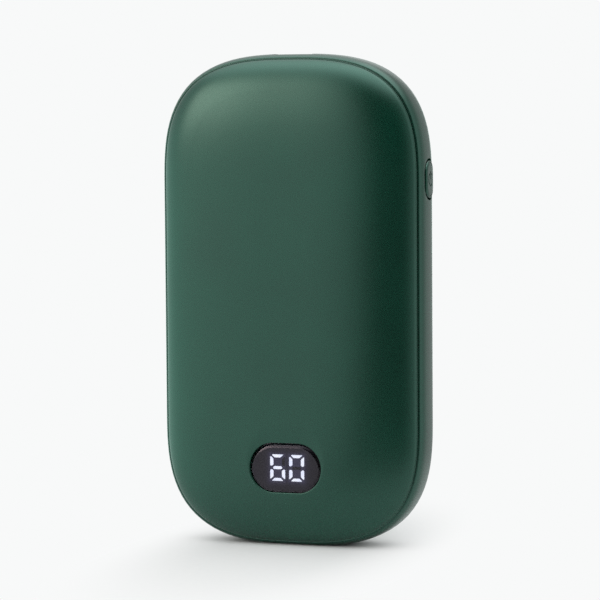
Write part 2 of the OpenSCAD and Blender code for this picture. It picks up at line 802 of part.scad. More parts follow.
module power_inductor() {
    half = inductor_size / 2;
    flat = half - chip_depth;
    color("#4a4a4d") raised() on_back(chip_column, upper_share, inductor_depth)
        polygon([for (q = [0:3]) for (side = [-1, 1]) let (c = cos(90 * q), s = sin(90 * q))
            [half * c - side * flat * s, half * s + side * flat * c]]);
}
module ceramic_capacitors() {
    color("#b08a5a") raised() for (row = [-1, 1]) for (i = [0:capacitor_count - 1])
        on_back((i - (capacitor_count - 1) / 2) * capacitor_pitch, middle_share, capacitor_depth)
            translate([0, row * capacitor_rows_apart / 2]) square(capacitor_size, center = true);
}
module connector(x) {
    translate([x, 0, connector_top - connector_length / 2]) difference() {
        slab(board_front - connector_depth, board_front)
            square([connector_width, connector_length], center = true);
        translate([0, 0, connector_length / 2 - connector_cavity])
            linear_extrude(connector_cavity + touch) translate([0, connector_y])
                square([connector_width, connector_depth] - 2 * connector_wall * [1, 1], center = true);
    }
}
module battery_connector() { color(cream_plastic) raised() connector(battery_connector_x); }
module heater_connectors() {
    color(cream_plastic) raised() for (x = [front_heater_x, rear_heater_x]) connector(x);
}

// Lithium polymer cell in its foil, its nickel tabs and its protection board
foil_lip = 0.8;
foil_lip_thickness = 0.3;
module battery_cell() {
    color("#8f9598") raised() {
        translate([-cell_width / 2, -cell_thickness / 2, cell_bottom])
            cube([cell_width, cell_thickness, cell_length - foil_lip]);
        translate([-cell_width / 2, -foil_lip_thickness / 2, cell_top - foil_lip - touch])
            cube([cell_width, foil_lip_thickness, foil_lip + touch]);
    }
}
tab_width = 5;
tab_thickness = 0.3;
tab_side = 9;
module cell_tabs() {
    color("#c7c4ba") raised() for (s = [-1, 1])
        translate([s * tab_side - tab_width / 2, -tab_thickness / 2, protection_top])
            cube([tab_width, tab_thickness, tab_height]);
}
module protection_board() {
    color(board_green) raised() translate([-protection_width / 2, -protection_depth / 2, protection_bottom])
        cube([protection_width, protection_depth, protection_thickness]);
}

// Heater layers follow the shells: dish is a layer between two insets, cut to a height range
module dish(outer, inner, share) {
    edge = angle_of_share(share);
    loft(concat(
        [for (a = between(pole_angle, edge, layer_steps)) front_ring(outer, a, inner_quarter_points)],
        [for (a = between(edge, pole_angle, layer_steps)) front_ring(inner, a, inner_quarter_points)]));
}
// A pad follows the film on one side and is flat on the cell on the other
module pad() {
    edge = angle_of_share(pad_edge_share);
    flat = -cell_thickness / 2 - layer_gap;
    loft(concat(
        [for (a = between(pole_angle, edge, layer_steps)) front_ring(pad_outer, a, inner_quarter_points)],
        [ring(pad_outer, pad_edge_share, flat, inner_quarter_points)]));
}
module height_range(low, high) {
    intersection() {
        children();
        translate([-half_width, -front_depth, low]) cube([body_width, front_depth, high - low]);
    }
}
// The rear layers mirror the front ones, moved with the depth of the back
module to_rear() { translate([0, rear_depth - front_depth, 0]) mirror([0, 1, 0]) children(); }
module front_heat_plate() {
    color("#c9ccce") raised() height_range(cell_bottom, heater_top + bite)
        dish(plate_outer, plate_inner, plate_edge_share);
}
module rear_heat_plate() {
    color("#c9ccce") raised() to_rear() height_range(cell_bottom, heater_top + bite)
        dish(plate_outer, plate_inner, plate_edge_share);
}
module front_heater_film() {
    color("#b5702a") raised() height_range(film_bottom, heater_top)
        dish(film_outer, film_inner, film_edge_share);
}
module rear_heater_film() {
    color("#b5702a") raised() to_rear() height_range(film_bottom, heater_top)
        dish(film_outer, film_inner, film_edge_share);
}
module front_foam_pad() { color("#dfe3e2") raised() height_range(pad_bottom, heater_top) pad(); }
module rear_foam_pad() { color("#dfe3e2") raised() to_rear() height_range(pad_bottom, heater_top) pad(); }

// Leads: a tube of round section swept along a smooth curve through the given points
function unit(v) = v / norm(v);
function bend(p, i, t) =
    let (n = len(p) - 1, a = p[max(i - 1, 0)], b = p[i], c = p[i + 1], d = p[min(i + 2, n)])
    (2 * b + (c - a) * t + (2 * a - 5 * b + 4 * c - d) * t * t + (3 * b - a - 3 * c + d) * t * t * t) / 2;
function curve(p) =
    concat([for (i = [0:len(p) - 2]) for (s = [0:spline_steps - 1]) bend(p, i, s / spline_steps)],
        [p[len(p) - 1]]);
function direction(c, p, i) = unit(
    i == 0 ? p[1] - p[0] : i == len(c) - 1 ? p[len(p) - 1] - p[len(p) - 2] : c[i + 1] - c[i - 1]);
function carried(n, t) = unit(n - (n * t) * t);
module lead(points, radius) {
    c = curve(points);
    along = [for (i = [0:len(c) - 1]) direction(c, points, i)];
    square_on = abs(along[0][2]) > 0.5 ? [1, 0, 0] : [0, 0, 1];
    normals = [for (i = 0, n = carried(square_on, along[0]); i < len(c);
        i = i + 1, n = carried(n, along[min(i, len(c) - 1)])) n];
    loft([for (i = [0:len(c) - 1]) let (t = along[i], n = normals[i], m = cross(t, n))
        [for (k = [0:lead_sides - 1]) let (a = -360 * k / lead_sides)
            c[i] + radius * (cos(a) * n + sin(a) * m)]]);
}
// Middle of a lead that lies on the bare end of a film, by its X
function on_film(x, r) =
    (front_depth - film_inner) * share_at(abs(x), half_width - film_inner) - r - layer_gap;
lead_bend = 1;
solder_z = film_bottom + film_tail - lead_bend;
lead_end = connector_top - connector_cavity + touch;
wire_row = (carrier_bottom + board_top) / 2;
front_lead_shift = 1.6;
rear_lead_shift = 1.4;
rear_lead_clearance = 1.7;
module front_heater_leads() {
    color("#c33b2f") raised() for (s = [-1, 1]) {
        end_x = front_heater_x + s * lead_spacing / 2;
        x = end_x + front_lead_shift;
        y = -on_film(x, lead_radius);
        lead([[x, y, solder_z], [x, y, film_bottom - lead_bend],
            [(x + end_x) / 2, (y + connector_y) / 2, carrier_bottom],
            [end_x, connector_y, connector_top + lead_bend], [end_x, connector_y, lead_end]], lead_radius);
    }
}
module rear_heater_leads() {
    lift = rear_depth - front_depth;
    color("#c33b2f") raised() for (s = [-1, 1]) {
        end_x = rear_heater_x + s * lead_spacing / 2;
        x = end_x + rear_lead_shift;
        y = lift + on_film(x, lead_radius);
        lead([[x, y, solder_z], [x, y, cell_bottom - lead_bend],
            [x, carrier_half + rear_lead_clearance, pocket_bottom - lead_bend],
            [x, web_front, wire_row], [end_x, board_front, wire_row],
            [end_x, connector_y, connector_top + lead_radius], [end_x, connector_y, lead_end]], lead_radius);
    }
}
battery_lead_shift = 1.4;
battery_lead_set = 0.6;
battery_lead_narrow = 0.1;
module battery_lead(side) {
    start_x = battery_connector_x + battery_lead_shift + side * power_spacing / 2;
    end_x = battery_connector_x + side * (power_spacing / 2 - battery_lead_narrow);
    lead([[start_x, -battery_lead_set, protection_bottom], [start_x, -battery_lead_set, pocket_bottom],
        [start_x, -battery_lead_set - protection_thickness, carrier_bottom],
        [(start_x + end_x) / 2, connector_y + power_lead_radius, wire_row],
        [end_x, connector_y, connector_top + lead_bend], [end_x, connector_y, lead_end]], power_lead_radius);
}
module battery_lead_red() { color("#c0392b") raised() battery_lead(-1); }
module battery_lead_black() { color("#1a1a1a") raised() battery_lead(1); }

// Temperature bead on the bare end of the front film, and its two thin leads to the board
sensor_z = film_bottom + film_tail / 2;
sensor_y = -on_film(sensor_x, bead_radius);
module thermistor() {
    color("#2b4f8a") raised() translate([sensor_x, sensor_y, sensor_z]) sphere(r = bead_radius);
}
module thermistor_leads() {
    color("#dcdcdc") raised() for (s = [-1, 1]) {
        x = sensor_x + s * sensor_spacing / 2;
        lead([[x, sensor_y, sensor_z - bead_radius], [x, sensor_y, film_bottom - lead_bend],
            [x, (sensor_y + board_front) / 2, carrier_bottom],
            [x, board_front - lead_bend, board_top - 2 * lead_bend],
            [x, board_front, board_top - 2 * lead_bend]], sensor_lead_radius);
    }
}
// Switch leads run down beside the cell and enter the board's bay through a notch
switch_lead_drop = 6;
switch_lead_level = board_screw_high - switch_lead_drop;
switch_lead_out = 2.4;
solder_rise = 1.5;
module switch_leads() {
    start_z = button_z - switch_board_height / 2 + solder_rise;
    start_x = switch_in + sensor_lead_radius + touch;
    out_x = carrier_side + switch_lead_out;
    end_y = board_front - sensor_lead_radius - touch;
    color("#2f6fb0") raised() for (s = [-1, 1]) {
        y = s * sensor_spacing / 2;
        lead([[start_x, y, start_z], [start_x + touch, y, start_z - lead_bend],
            [out_x, y, start_z - switch_lead_drop], [out_x, y, 0], [out_x, y, cell_bottom],
            [out_x, y, frame_screw_low - frame_lug_radius],
            [bay_half + lead_bend, end_y, switch_lead_level + y], [bay_half, end_y, switch_lead_level + y],
            [board_width / 2 - lead_bend, end_y, switch_lead_level + y]], sensor_lead_radius);
    }
}

module lanyard_bar() { color(steel) raised() lanyard_bar_shape(bar_length, bar_diameter / 2 - touch / 2); }

front_shell();
rear_shell();
display_lens();
lens_adhesive();
display_housing();
lit_segments();
unlit_segments();
display_pins();
power_button();
switch_plunger();
switch_body();
switch_cover();
switch_board();
inner_frame();
frame_screws();
board_screws();
main_board();
usb_c_shell();
usb_c_tongue();
control_chips();
power_inductor();
ceramic_capacitors();
battery_connector();
heater_connectors();
battery_cell();
cell_tabs();
protection_board();
battery_lead_red();
battery_lead_black();
front_foam_pad();
rear_foam_pad();
front_heater_film();
rear_heater_film();
front_heat_plate();
rear_heat_plate();
thermistor();
front_heater_leads();
rear_heater_leads();
thermistor_leads();
switch_leads();
lanyard_bar();
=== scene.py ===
# %% [markdown]
# A rechargeable hand warmer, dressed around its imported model.
# The real thing is a flat, rounded case of two moulded shells in dark green soft-touch paint, with a
# smoked window over two lit digits, a push button in its side, a charging port in its bottom end and
# a small bar for a wrist cord in its top edge. The solids come in first and stay where they are, and
# everything below is placed by them.

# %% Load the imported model
import math
import bmesh
import bpy
from mathutils import Matrix, Vector


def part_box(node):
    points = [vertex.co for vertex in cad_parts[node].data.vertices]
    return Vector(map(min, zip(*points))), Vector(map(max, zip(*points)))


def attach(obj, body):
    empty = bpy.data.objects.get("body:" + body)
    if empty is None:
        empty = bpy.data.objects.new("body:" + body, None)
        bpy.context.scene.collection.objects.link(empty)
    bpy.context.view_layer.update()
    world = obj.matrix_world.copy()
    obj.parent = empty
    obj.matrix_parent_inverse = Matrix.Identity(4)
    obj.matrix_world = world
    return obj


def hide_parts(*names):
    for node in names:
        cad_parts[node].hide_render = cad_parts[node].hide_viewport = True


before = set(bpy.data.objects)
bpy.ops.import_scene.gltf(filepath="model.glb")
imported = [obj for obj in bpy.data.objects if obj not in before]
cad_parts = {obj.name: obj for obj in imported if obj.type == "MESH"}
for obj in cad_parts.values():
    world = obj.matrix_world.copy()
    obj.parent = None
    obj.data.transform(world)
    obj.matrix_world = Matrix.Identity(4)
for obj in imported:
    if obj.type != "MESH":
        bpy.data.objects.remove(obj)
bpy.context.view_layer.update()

bpy.ops.object.select_all(action="DESELECT")

# %% [markdown]
# The form of the case.
# Seen from the front, the case has straight sides and ends that round off in a superellipse, which is
# fuller in its corners than an ellipse. Seen from the end it is a superellipse too. So one point of
# the skin needs three values: how deep below the skin it lies, which share of the outline is left at
# its level, and the level itself. All sizes are millimetres, measured from the middle of the case.

# %% Sizes of the case
MM = 0.001
HALF_WIDTH = 31.3
HALF_HEIGHT = 56
DEPTH = 9.6
CORNER_RUN = 29.6
OUTLINE_POWER = 2.9
EDGE_POWER = 3.4
WALL = 1.7
FOOT_CUT = 0.45
STRAIGHT = HALF_HEIGHT - CORNER_RUN
CENTRE = HALF_HEIGHT - FOOT_CUT
POLE_ANGLE = math.radians(86)


def place(x, y, z):
    """A point given in millimetres from the middle of the case, as a point of the frame in metres."""
    return Vector((x, y, z + CENTRE)) * MM


def share_at(level, depth):
    """Share of the outline that is left at a level of a half as deep as depth."""
    return (1 - (abs(level) / depth) ** EDGE_POWER) ** (1 / EDGE_POWER)


def skin_level(x, z, inset=0.0):
    """How far the skin, or a layer below it, stands off the widest plane at x, z."""
    across = (abs(x) / (HALF_WIDTH - inset)) ** OUTLINE_POWER
    along = (max(abs(z) - STRAIGHT, 0) / (CORNER_RUN - inset)) ** OUTLINE_POWER
    share = min((across + along) ** (1 / OUTLINE_POWER), 1)
    flat = math.sin(POLE_ANGLE) ** (2 / EDGE_POWER)
    return (DEPTH - inset) * min((1 - share ** EDGE_POWER) ** (1 / EDGE_POWER), flat)


# %% [markdown]
# Even points on a superellipse.
# Equal steps of its angle crowd the points at some places and leave gaps at others, and the gaps show
# as flats in a highlight. So the curve is walked in small steps, and a point is set after each equal
# stretch. A turn counts as a stretch too, which gives tight bends more points.

# %% Points along the outline
FINE_STEPS = 3000
CORNER_STEPS = 28
SIDE_STEPS = 30


def curve_point(angle, power):
    return Vector((max(math.cos(angle), 0) ** (2 / power), max(math.sin(angle), 0) ** (2 / power)))


def even_angles(power, size, first, last, count, turn_weight=0.0):
    """Angles from first to last that cut the curve into count stretches of equal worth."""
    angles = [first + (last - first) * i / FINE_STEPS for i in range(FINE_STEPS + 1)]
    points = [Vector((p.x * size[0], p.y * size[1])) for p in (curve_point(a, power) for a in angles)]
    worth, before = [0.0], points[1] - points[0]
    for a, b in zip(points, points[1:]):
        step = b - a
        worth.append(worth[-1] + step.length + turn_weight * before.angle(step, 0))
        before = step
    chosen, i = [], 0
    for k in range(count + 1):
        while i < FINE_STEPS and worth[i] < worth[-1] * k / count:
            i += 1
        chosen.append(angles[i])
    return chosen


corner = [curve_point(a, OUTLINE_POWER) for a in
          even_angles(OUTLINE_POWER, (HALF_WIDTH, CORNER_RUN), math.pi / 2, 0, CORNER_STEPS)]
right = [(p.x, 1, p.y) for p in corner]
right += [(1, 1 - 2 * i / SIDE_STEPS, 0) for i in range(1, SIDE_STEPS)]
right += [(p.x, -1, -p.y) for p in reversed(corner)]
spokes = right + [(-x, side, end) for x, side, end in reversed(right[1:-1])]
print("points round the outline:", len(spokes))

# %% [markdown]
# Outlines at any depth and level.
# Each skin of the case is a stack of outlines. The inset says how deep below the paint a skin lies, so
# the same functions draw the outside, the inside of the wall and the tongue between the two shells.

# %% Outlines of the case
TURN_WEIGHT = 8


def ring(inset, share, level):
    """One outline of the case, clockwise from its top, at a level along Y."""
    wide, run = (HALF_WIDTH - inset) * share, (CORNER_RUN - inset) * share
    return [place(x * wide, level, side * STRAIGHT + end * run) for x, side, end in spokes]


def level_ring(inset, level):
    return ring(inset, share_at(level, DEPTH - inset), level)


def edge_rings(inset, first, last, count, side):
    """Rings from one angle of the edge to another. side is -1 for the front and 1 for the back."""
    size = (HALF_WIDTH - inset, DEPTH - inset)
    angles = even_angles(EDGE_POWER, size, first, last, count, TURN_WEIGHT)
    points = [curve_point(a, EDGE_POWER) for a in angles]
    return [ring(inset, p.x, side * p.y * size[1]) for p in points]


def angle_at(level, depth):
    return math.asin((level / depth) ** (EDGE_POWER / 2))


def angle_of(share):
    return math.acos(share ** (EDGE_POWER / 2))


print("share of the outline left at half the depth:", round(share_at(DEPTH / 2, DEPTH), 3))

# %% [markdown]
# A tool for moulded shells.
# A shell with a thin wall is a skin that goes out over the rim, across the face and back inside. By
# hand it is made from one circle that is extruded again and again, each new ring pushed to its place.
# Here every point of the first ring gets a number, the extrusion copies that number, and so each new
# ring can be laid on any outline with as many points.

# %% Extruding rings


def first_ring(name, points):
    """A circle with its points laid on the given ones, open for editing."""
    bpy.ops.mesh.primitive_circle_add(vertices=len(points), radius=HALF_WIDTH * MM)
    piece = bpy.context.object
    piece.name = piece.data.name = name
    number = piece.data.attributes.new("number", "INT", "POINT")
    for i, point in enumerate(points):
        piece.data.vertices[i].co = point
        number.data[i].value = i
    bpy.ops.object.mode_set(mode="EDIT")
    bpy.ops.mesh.select_mode(type="EDGE")
    bpy.ops.mesh.select_all(action="SELECT")
    return piece


def next_rings(piece, rings):
    """Extrudes the selected ring once for each of the rings."""
    for points in rings:
        bpy.ops.mesh.extrude_edges_move()
        mesh = bmesh.from_edit_mesh(piece.data)
        number = mesh.verts.layers.int["number"]
        for vertex in mesh.verts:
            if vertex.select:
                vertex.co = points[vertex[number]]
        bmesh.update_edit_mesh(piece.data)


def close_piece(piece, as_tube):
    """Joins the first ring to the last, or caps both, and turns the faces outwards."""
    bpy.ops.mesh.select_all(action="DESELECT")
    bpy.ops.mesh.select_non_manifold(extend=False)
    if as_tube:
        bpy.ops.mesh.bridge_edge_loops()
    else:
        bpy.ops.mesh.fill_holes(sides=0)
    bpy.ops.mesh.select_all(action="SELECT")
    bpy.ops.mesh.normals_make_consistent(inside=False)
    if bmesh.from_edit_mesh(piece.data).calc_volume(signed=True) < 0:
        bpy.ops.mesh.flip_normals()
    bpy.ops.object.mode_set(mode="OBJECT")


def lofted(name, rings, as_tube=False):
    piece = first_ring(name, rings[0])
    next_rings(piece, rings[1:])
    close_piece(piece, as_tube)
    return piece


# %% [markdown]
# Smooth shading.
# Moulded and painted skins show no facets, so faces that meet at a small angle are shaded as one,
# while a sharper edge stays crisp. Edges of no length, which a cut can leave, are dissolved first,
# because they would show as dark specks.

# %% Smoothing a piece
TINY = 2e-6


def open_alone(piece):
    """Selects one piece and opens it for editing, with all of it selected."""
    bpy.ops.object.select_all(action="DESELECT")
    piece.select_set(True)
    bpy.context.view_layer.objects.active = piece
    bpy.ops.object.mode_set(mode="EDIT")
    bpy.ops.mesh.select_all(action="SELECT")


def smooth(piece, angle=35):
    open_alone(piece)
    bpy.ops.mesh.dissolve_degenerate(threshold=TINY)
    bpy.ops.object.mode_set(mode="OBJECT")
    bpy.ops.object.shade_smooth_by_angle(angle=math.radians(angle))
    bpy.ops.object.select_all(action="DESELECT")
    print(piece.name, "has", len(piece.data.polygons), "faces")


# %% [markdown]
# The front cover.
# It is the shallow half of the case: a face that rounds over to a rim, with the window's opening low
# on it and a step inside the rim that the rear shell's tongue enters. Cutting the opening from a
# finished face would leave a ragged edge there. Instead the skin is one long tube: it runs from the
# rim over the face, narrows to the window's outline, rolls over its edge, goes back inside and ends
# where it began. The edge of the opening is then a clean row of faces with a true radius.

# %% The window's outline
WINDOW = (17, 11.3)
WINDOW_DROP = 37.4


def obround(width, height, count, drop=0.0):
    """Points of a slot with round ends, clockwise from the middle of its top."""
    radius, flat = height / 2, (width - height) / 2
    around = 2 * math.pi * radius + 4 * flat
    points = []
    for i in range(count):
        s = around * i / count
        half_way = s if s <= around / 2 else around - s
        if half_way <= flat:
            x, z = half_way, radius
        elif half_way <= flat + math.pi * radius:
            a = (half_way - flat) / radius
            x, z = flat + radius * math.sin(a), radius * math.cos(a)
        else:
            x, z = flat - (half_way - flat - math.pi * radius), -radius
        points.append((x if s <= around / 2 else -x, z - drop))
    return points


def window_ring(grow, level, count=len(spokes)):
    """The window's outline, grown all round. level is how far it stands off the widest plane."""
    points = obround(WINDOW[0] + 2 * grow, WINDOW[1] + 2 * grow, count, WINDOW_DROP)
    return [place(x, -(level(x, z) if callable(level) else level), z) for x, z in points]


print("the skin over the window's middle stands off by", round(skin_level(0, WINDOW_DROP), 2), "mm")

# %% The seam's step
SEAM = 5
SEAM_GAP = 0.4
SEAM_RADIUS = 0.12
FRONT_RIM = SEAM + SEAM_GAP / 2
TONGUE_INSET = 1
TONGUE_CLEARANCE = 0.1
TONGUE_END = SEAM + 1.4
SNAP_BEAD = 0.12
BEAD_LEVEL = (FRONT_RIM + TONGUE_END) / 2
BEAD_HALF = (TONGUE_END - FRONT_RIM) / 5


def quarter_round(radius, steps=3):
    """How far in and how deep a rounded edge is, from the skin to the wall."""
    turns = [math.pi / 2 * i / steps for i in range(steps + 1)]
    return [(radius * (1 - math.sin(t)), radius * (1 - math.cos(t))) for t in turns]


def step_rings(inset, first, last):
    """The wall of the step between the shells, with its snap bead, from one level to another."""
    wall = [(0, first), (0, -BEAD_LEVEL - BEAD_HALF), (SNAP_BEAD, -BEAD_LEVEL),
            (0, -BEAD_LEVEL + BEAD_HALF), (0, last)]
    return [level_ring(inset - bead, level) for bead, level in wall]


print("the snap bead stands at", round(BEAD_LEVEL, 2), "mm before the widest plane")

# %% Front cover
WINDOW_RADIUS = 0.2
FLANGE_RIM = 1.2
LENS_GAP = 0.18
LENS_SEAT = 8.37
FACE_SHARE = 0.72
FACE_STEPS = 20


def face_rows(inset, window):
    """Rings that lead from the outline to the window's ring, laid on the skin."""
    outer = ring(inset, FACE_SHARE, 0)
    rows = []
    for k in range(1, FACE_STEPS):
        share = k / FACE_STEPS
        row = []
        for a, b in zip(outer, window):
            x, z = (a.x + (b.x - a.x) * share) / MM, (a.z + (b.z - a.z) * share) / MM - CENTRE
            row.append(place(x, -skin_level(x, z, inset), z))
        rows.append(row)
    return rows


mouth = window_ring(WINDOW_RADIUS, skin_level)
pocket = window_ring(FLANGE_RIM + LENS_GAP, lambda x, z: skin_level(x, z, WALL))
step_end = TONGUE_END + TONGUE_CLEARANCE
rings = [level_ring(grow, -FRONT_RIM - deep) for deep, grow in quarter_round(SEAM_RADIUS)]
rings += edge_rings(0, angle_at(FRONT_RIM + SEAM_RADIUS, DEPTH), angle_of(FACE_SHARE), 12, -1)[1:]
rings += face_rows(0, mouth)
rings += [window_ring(grow, lambda x, z, d=deep: skin_level(x, z) - d)
          for grow, deep in quarter_round(WINDOW_RADIUS)]
rings += [window_ring(0, LENS_SEAT), window_ring(FLANGE_RIM + LENS_GAP, LENS_SEAT), pocket]
rings += face_rows(WALL, pocket)[::-1]
rings += edge_rings(WALL, angle_of(FACE_SHARE), angle_at(step_end, DEPTH - WALL), 8, -1)
rings += step_rings(TONGUE_INSET - TONGUE_CLEARANCE, -step_end, -FRONT_RIM)
front_cover = lofted("front_cover", rings, as_tube=True)
smooth(front_cover)

# %% [markdown]
# The rear shell.
# It is the deep half, with a tongue round its rim. Its skin is a bag: it starts inside at the middle
# of the back, comes forward, goes over the tongue and the seam's groove, and closes outside at the
# middle of the back.

# %% Rear shell
REAR_RIM = SEAM - SEAM_GAP / 2
inner_tongue = angle_at(TONGUE_END, DEPTH - WALL)
rear_skin = angle_at(REAR_RIM - SEAM_RADIUS, DEPTH)
rings = edge_rings(WALL, POLE_ANGLE, 0, 16, 1)
rings += edge_rings(WALL, 0, inner_tongue, 4, -1)[1:]
rings += step_rings(TONGUE_INSET, -TONGUE_END, -REAR_RIM)
rings += [level_ring(grow, -REAR_RIM + deep) for deep, grow in quarter_round(SEAM_RADIUS)]
rings += edge_rings(0, rear_skin, 0, 4, -1)[1:]
rings += edge_rings(0, 0, POLE_ANGLE, 26, 1)[1:]
rear_case = lofted("rear_case", rings)
print("rear case:", len(rings), "rings")

# %% [markdown]
# Blocks, rods and openings.
# What a stack of rings can't follow is added to a shell, or cut from it, as a block of its own. A
# cutter leaves its material on the faces that it makes: that shows later which edges are new.

# %% Adding and cutting
cut_mark = bpy.data.materials.new("cut_mark")


def box(size, middle):
    """A block of a size and a middle in millimetres."""
    bpy.ops.mesh.primitive_cube_add(size=1)
    block = bpy.context.object
    for vertex in block.data.vertices:
        vertex.co = place(*(m + c * s for m, c, s in zip(middle, vertex.co, size)))
    return block


def prism(points, near, far, along):
    """A block drawn by points and extruded from near to far, along x, y or z."""
    order = {"x": (2, 0, 1), "y": (0, 2, 1), "z": (0, 1, 2)}[along]
    rings = [[place(*[(*p, level)[i] for i in order]) for p in points] for level in (near, far)]
    return lofted("prism", rings)


def arc(middle, radius, first=0.0, last=2 * math.pi, steps=32):
    """Points on a circle from one angle to another, without the one at the last angle."""
    turns = [first + (last - first) * i / steps for i in range(steps)]
    return [(middle[0] + radius * math.sin(t), middle[1] + radius * math.cos(t)) for t in turns]


def boolean(piece, tool, operation="DIFFERENCE"):
    """Adds or cuts the tool, which is used up. What it cuts carries the mark."""
    if operation == "DIFFERENCE":
        tool.data.materials.clear()
        tool.data.materials.append(cut_mark)
    modifier = piece.modifiers.new("shaping", "BOOLEAN")
    modifier.object, modifier.operation = tool, operation
    modifier.solver, modifier.material_mode = "EXACT", "TRANSFER"
    bpy.context.view_layer.objects.active = piece
    bpy.ops.object.modifier_apply(modifier=modifier.name)
    bpy.data.objects.remove(tool)


# %% [markdown]
# Inside the rear shell: bosses, a pad that guides the button, and walls round the cord recess.
# They are moulded in one with the wall, so they are added to it as blocks and rods that end inside it.

# %% Bosses
CARRIER_HALF = 4
BOSS_RADIUS = 2.2
SCREW_HEAD = 1.9
UPPER_BOSS = 13
screws_low, screws_high = (corner / MM - Vector((0, 0, CENTRE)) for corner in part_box("frame_screws"))
BOSS_PLACES = [(side * x, z) for side in (-1, 1)
               for x, z in ((screws_high.x - SCREW_HEAD, screws_low.z + SCREW_HEAD),
                            (UPPER_BOSS, screws_high.z - SCREW_HEAD))]
for x, z in BOSS_PLACES:
    boss = prism(arc((x, z), BOSS_RADIUS), CARRIER_HALF, skin_level(x, z) - WALL / 2, "y")
    boolean(rear_case, boss, "UNION")
print("rear case with its bosses:", len(rear_case.data.polygons), "faces")

# %% Pad of the button and walls of the recess
BUTTON_HOLE = (6.8, 9.4)
BUTTON_SET = 0.6
BUTTON_RISE = 27.6
BUTTON_FLANGE = 0.9
BUTTON_GAP = 0.35
PAD = 1
# How far a block reaches into the wall that it joins
BITE = 0.3
BUTTON_SEAT = HALF_WIDTH - WALL - PAD
RECESS_WIDTH = 9.6
RECESS_FRONT = 1.7
RECESS_FLOOR = HALF_HEIGHT - 5.6
RECESS_WALL = 1.2
RECESS_STEPS = 6
LEAD_IN_DROP = 0.17
flange = [side - 2 * BUTTON_GAP + 2 * BUTTON_FLANGE for side in BUTTON_HOLE]
boolean(rear_case, box((PAD + BITE, flange[0] + 2 * BITE, flange[1] + 2 * PAD),
                       (BUTTON_SEAT + (PAD + BITE) / 2, BUTTON_SET, BUTTON_RISE)), "UNION")
housing_low = RECESS_FLOOR - RECESS_WALL
housing_high = HALF_HEIGHT - WALL / 2 - LEAD_IN_DROP
back_run = housing_high - WALL / 2 - housing_low
heights = [housing_low + back_run * i / RECESS_STEPS for i in range(RECESS_STEPS + 1)]
profile = [(RECESS_FRONT - RECESS_WALL, housing_high), (RECESS_FRONT - RECESS_WALL, housing_low)]
profile += [(skin_level(0, z, WALL / 2), z) for z in heights]
housing_side = RECESS_WIDTH / 2 + RECESS_WALL
boolean(rear_case, prism(profile, -housing_side, housing_side, "x"), "UNION")
print("rear case with all inside:", len(rear_case.data.polygons), "faces")

# %% [markdown]
# The openings of the rear shell.
# The bottom end is cut flat, so that the warmer stands. A straight cut through a closed solid is a
# bisect, which also fills the cut. The other openings are blocks taken away: the button's hole with
# a square well behind it for its flange, the charging slot, the screw holes in the bosses, and the
# recess in the top edge, whose front slopes in so that a cord can be threaded round the bar.

# %% Flat foot
rear_case.data.materials.append(bpy.data.materials.new("skin_mark"))
open_alone(rear_case)
bpy.ops.mesh.bisect(plane_co=(0, 0, 0), plane_no=(0, 0, -1), use_fill=True, clear_outer=True,
                    threshold=TINY)
bpy.ops.object.mode_set(mode="OBJECT")
print("rear case with its foot:", len(rear_case.data.polygons), "faces")

# %% Cutting the rear shell
PORT = (8.94, 3.2)
PORT_CLEARANCE = 0.25
WELL_CLEARANCE = 0.4
WELL_FLOOR = 23.5
PILOT_RADIUS = 0.95
PILOT_END = 6.7
BAR_SET = 4.7
BAR_DROP = 2.9
BAR_RADIUS = 1
BAR_LENGTH = RECESS_WIDTH + 2 * (RECESS_WALL - BITE)
LEAD_IN = 3.1
LEAD_IN_SLOPE = math.radians(6)
OVERRUN = 12


def side_obround(width, height, count=96):
    """An upright slot on the side of the case, as points along Y and Z."""
    return [(BUTTON_SET + a, BUTTON_RISE + b) for b, a in obround(height, width, count)]


well = [side + 2 * WELL_CLEARANCE for side in flange]
edge_height = HALF_HEIGHT - LEAD_IN_DROP
recess = [(RECESS_FRONT, RECESS_FLOOR), (OVERRUN, RECESS_FLOOR), (OVERRUN, HALF_HEIGHT + OVERRUN),
          (-LEAD_IN, HALF_HEIGHT + OVERRUN), (-LEAD_IN, edge_height),
          (RECESS_FRONT, edge_height - (RECESS_FRONT + LEAD_IN) * math.tan(LEAD_IN_SLOPE))]
cuts = [
    prism(side_obround(*BUTTON_HOLE), 0, HALF_WIDTH + OVERRUN, "x"),
    box((BUTTON_SEAT - WELL_FLOOR, *well), ((BUTTON_SEAT + WELL_FLOOR) / 2, BUTTON_SET, BUTTON_RISE)),
    prism(obround(PORT[0] + 2 * PORT_CLEARANCE, PORT[1] + 2 * PORT_CLEARANCE, 64),
          -HALF_HEIGHT - OVERRUN / 2, -HALF_HEIGHT + OVERRUN / 2, "z"),
    prism(recess[::-1], -RECESS_WIDTH / 2, RECESS_WIDTH / 2, "x"),
    prism(arc((BAR_SET, HALF_HEIGHT - BAR_DROP), BAR_RADIUS), -BAR_LENGTH / 2, BAR_LENGTH / 2, "x")]
cuts += [prism(arc(place_of, PILOT_RADIUS), 0, PILOT_END, "y") for place_of in BOSS_PLACES]
for cut in cuts:
    boolean(rear_case, cut)
print("rear case with its openings:", len(rear_case.data.polygons), "faces")

# %% [markdown]
# Rounded edges.
# A moulded edge is never quite sharp, and its small radius catches a fine line of light. An edge
# between a marked face and the old skin is one that a cut has made. Those near each opening are
# picked by their place and bevelled with the radius that they need.

# %% Rounding the cut edges
HOLE_EDGE = 0.15
SLOT_EDGE = 0.2
RECESS_EDGE = 0.25


def marked(piece, face):
    slots = piece.data.materials
    return face.material_index < len(slots) and slots[face.material_index] == cut_mark


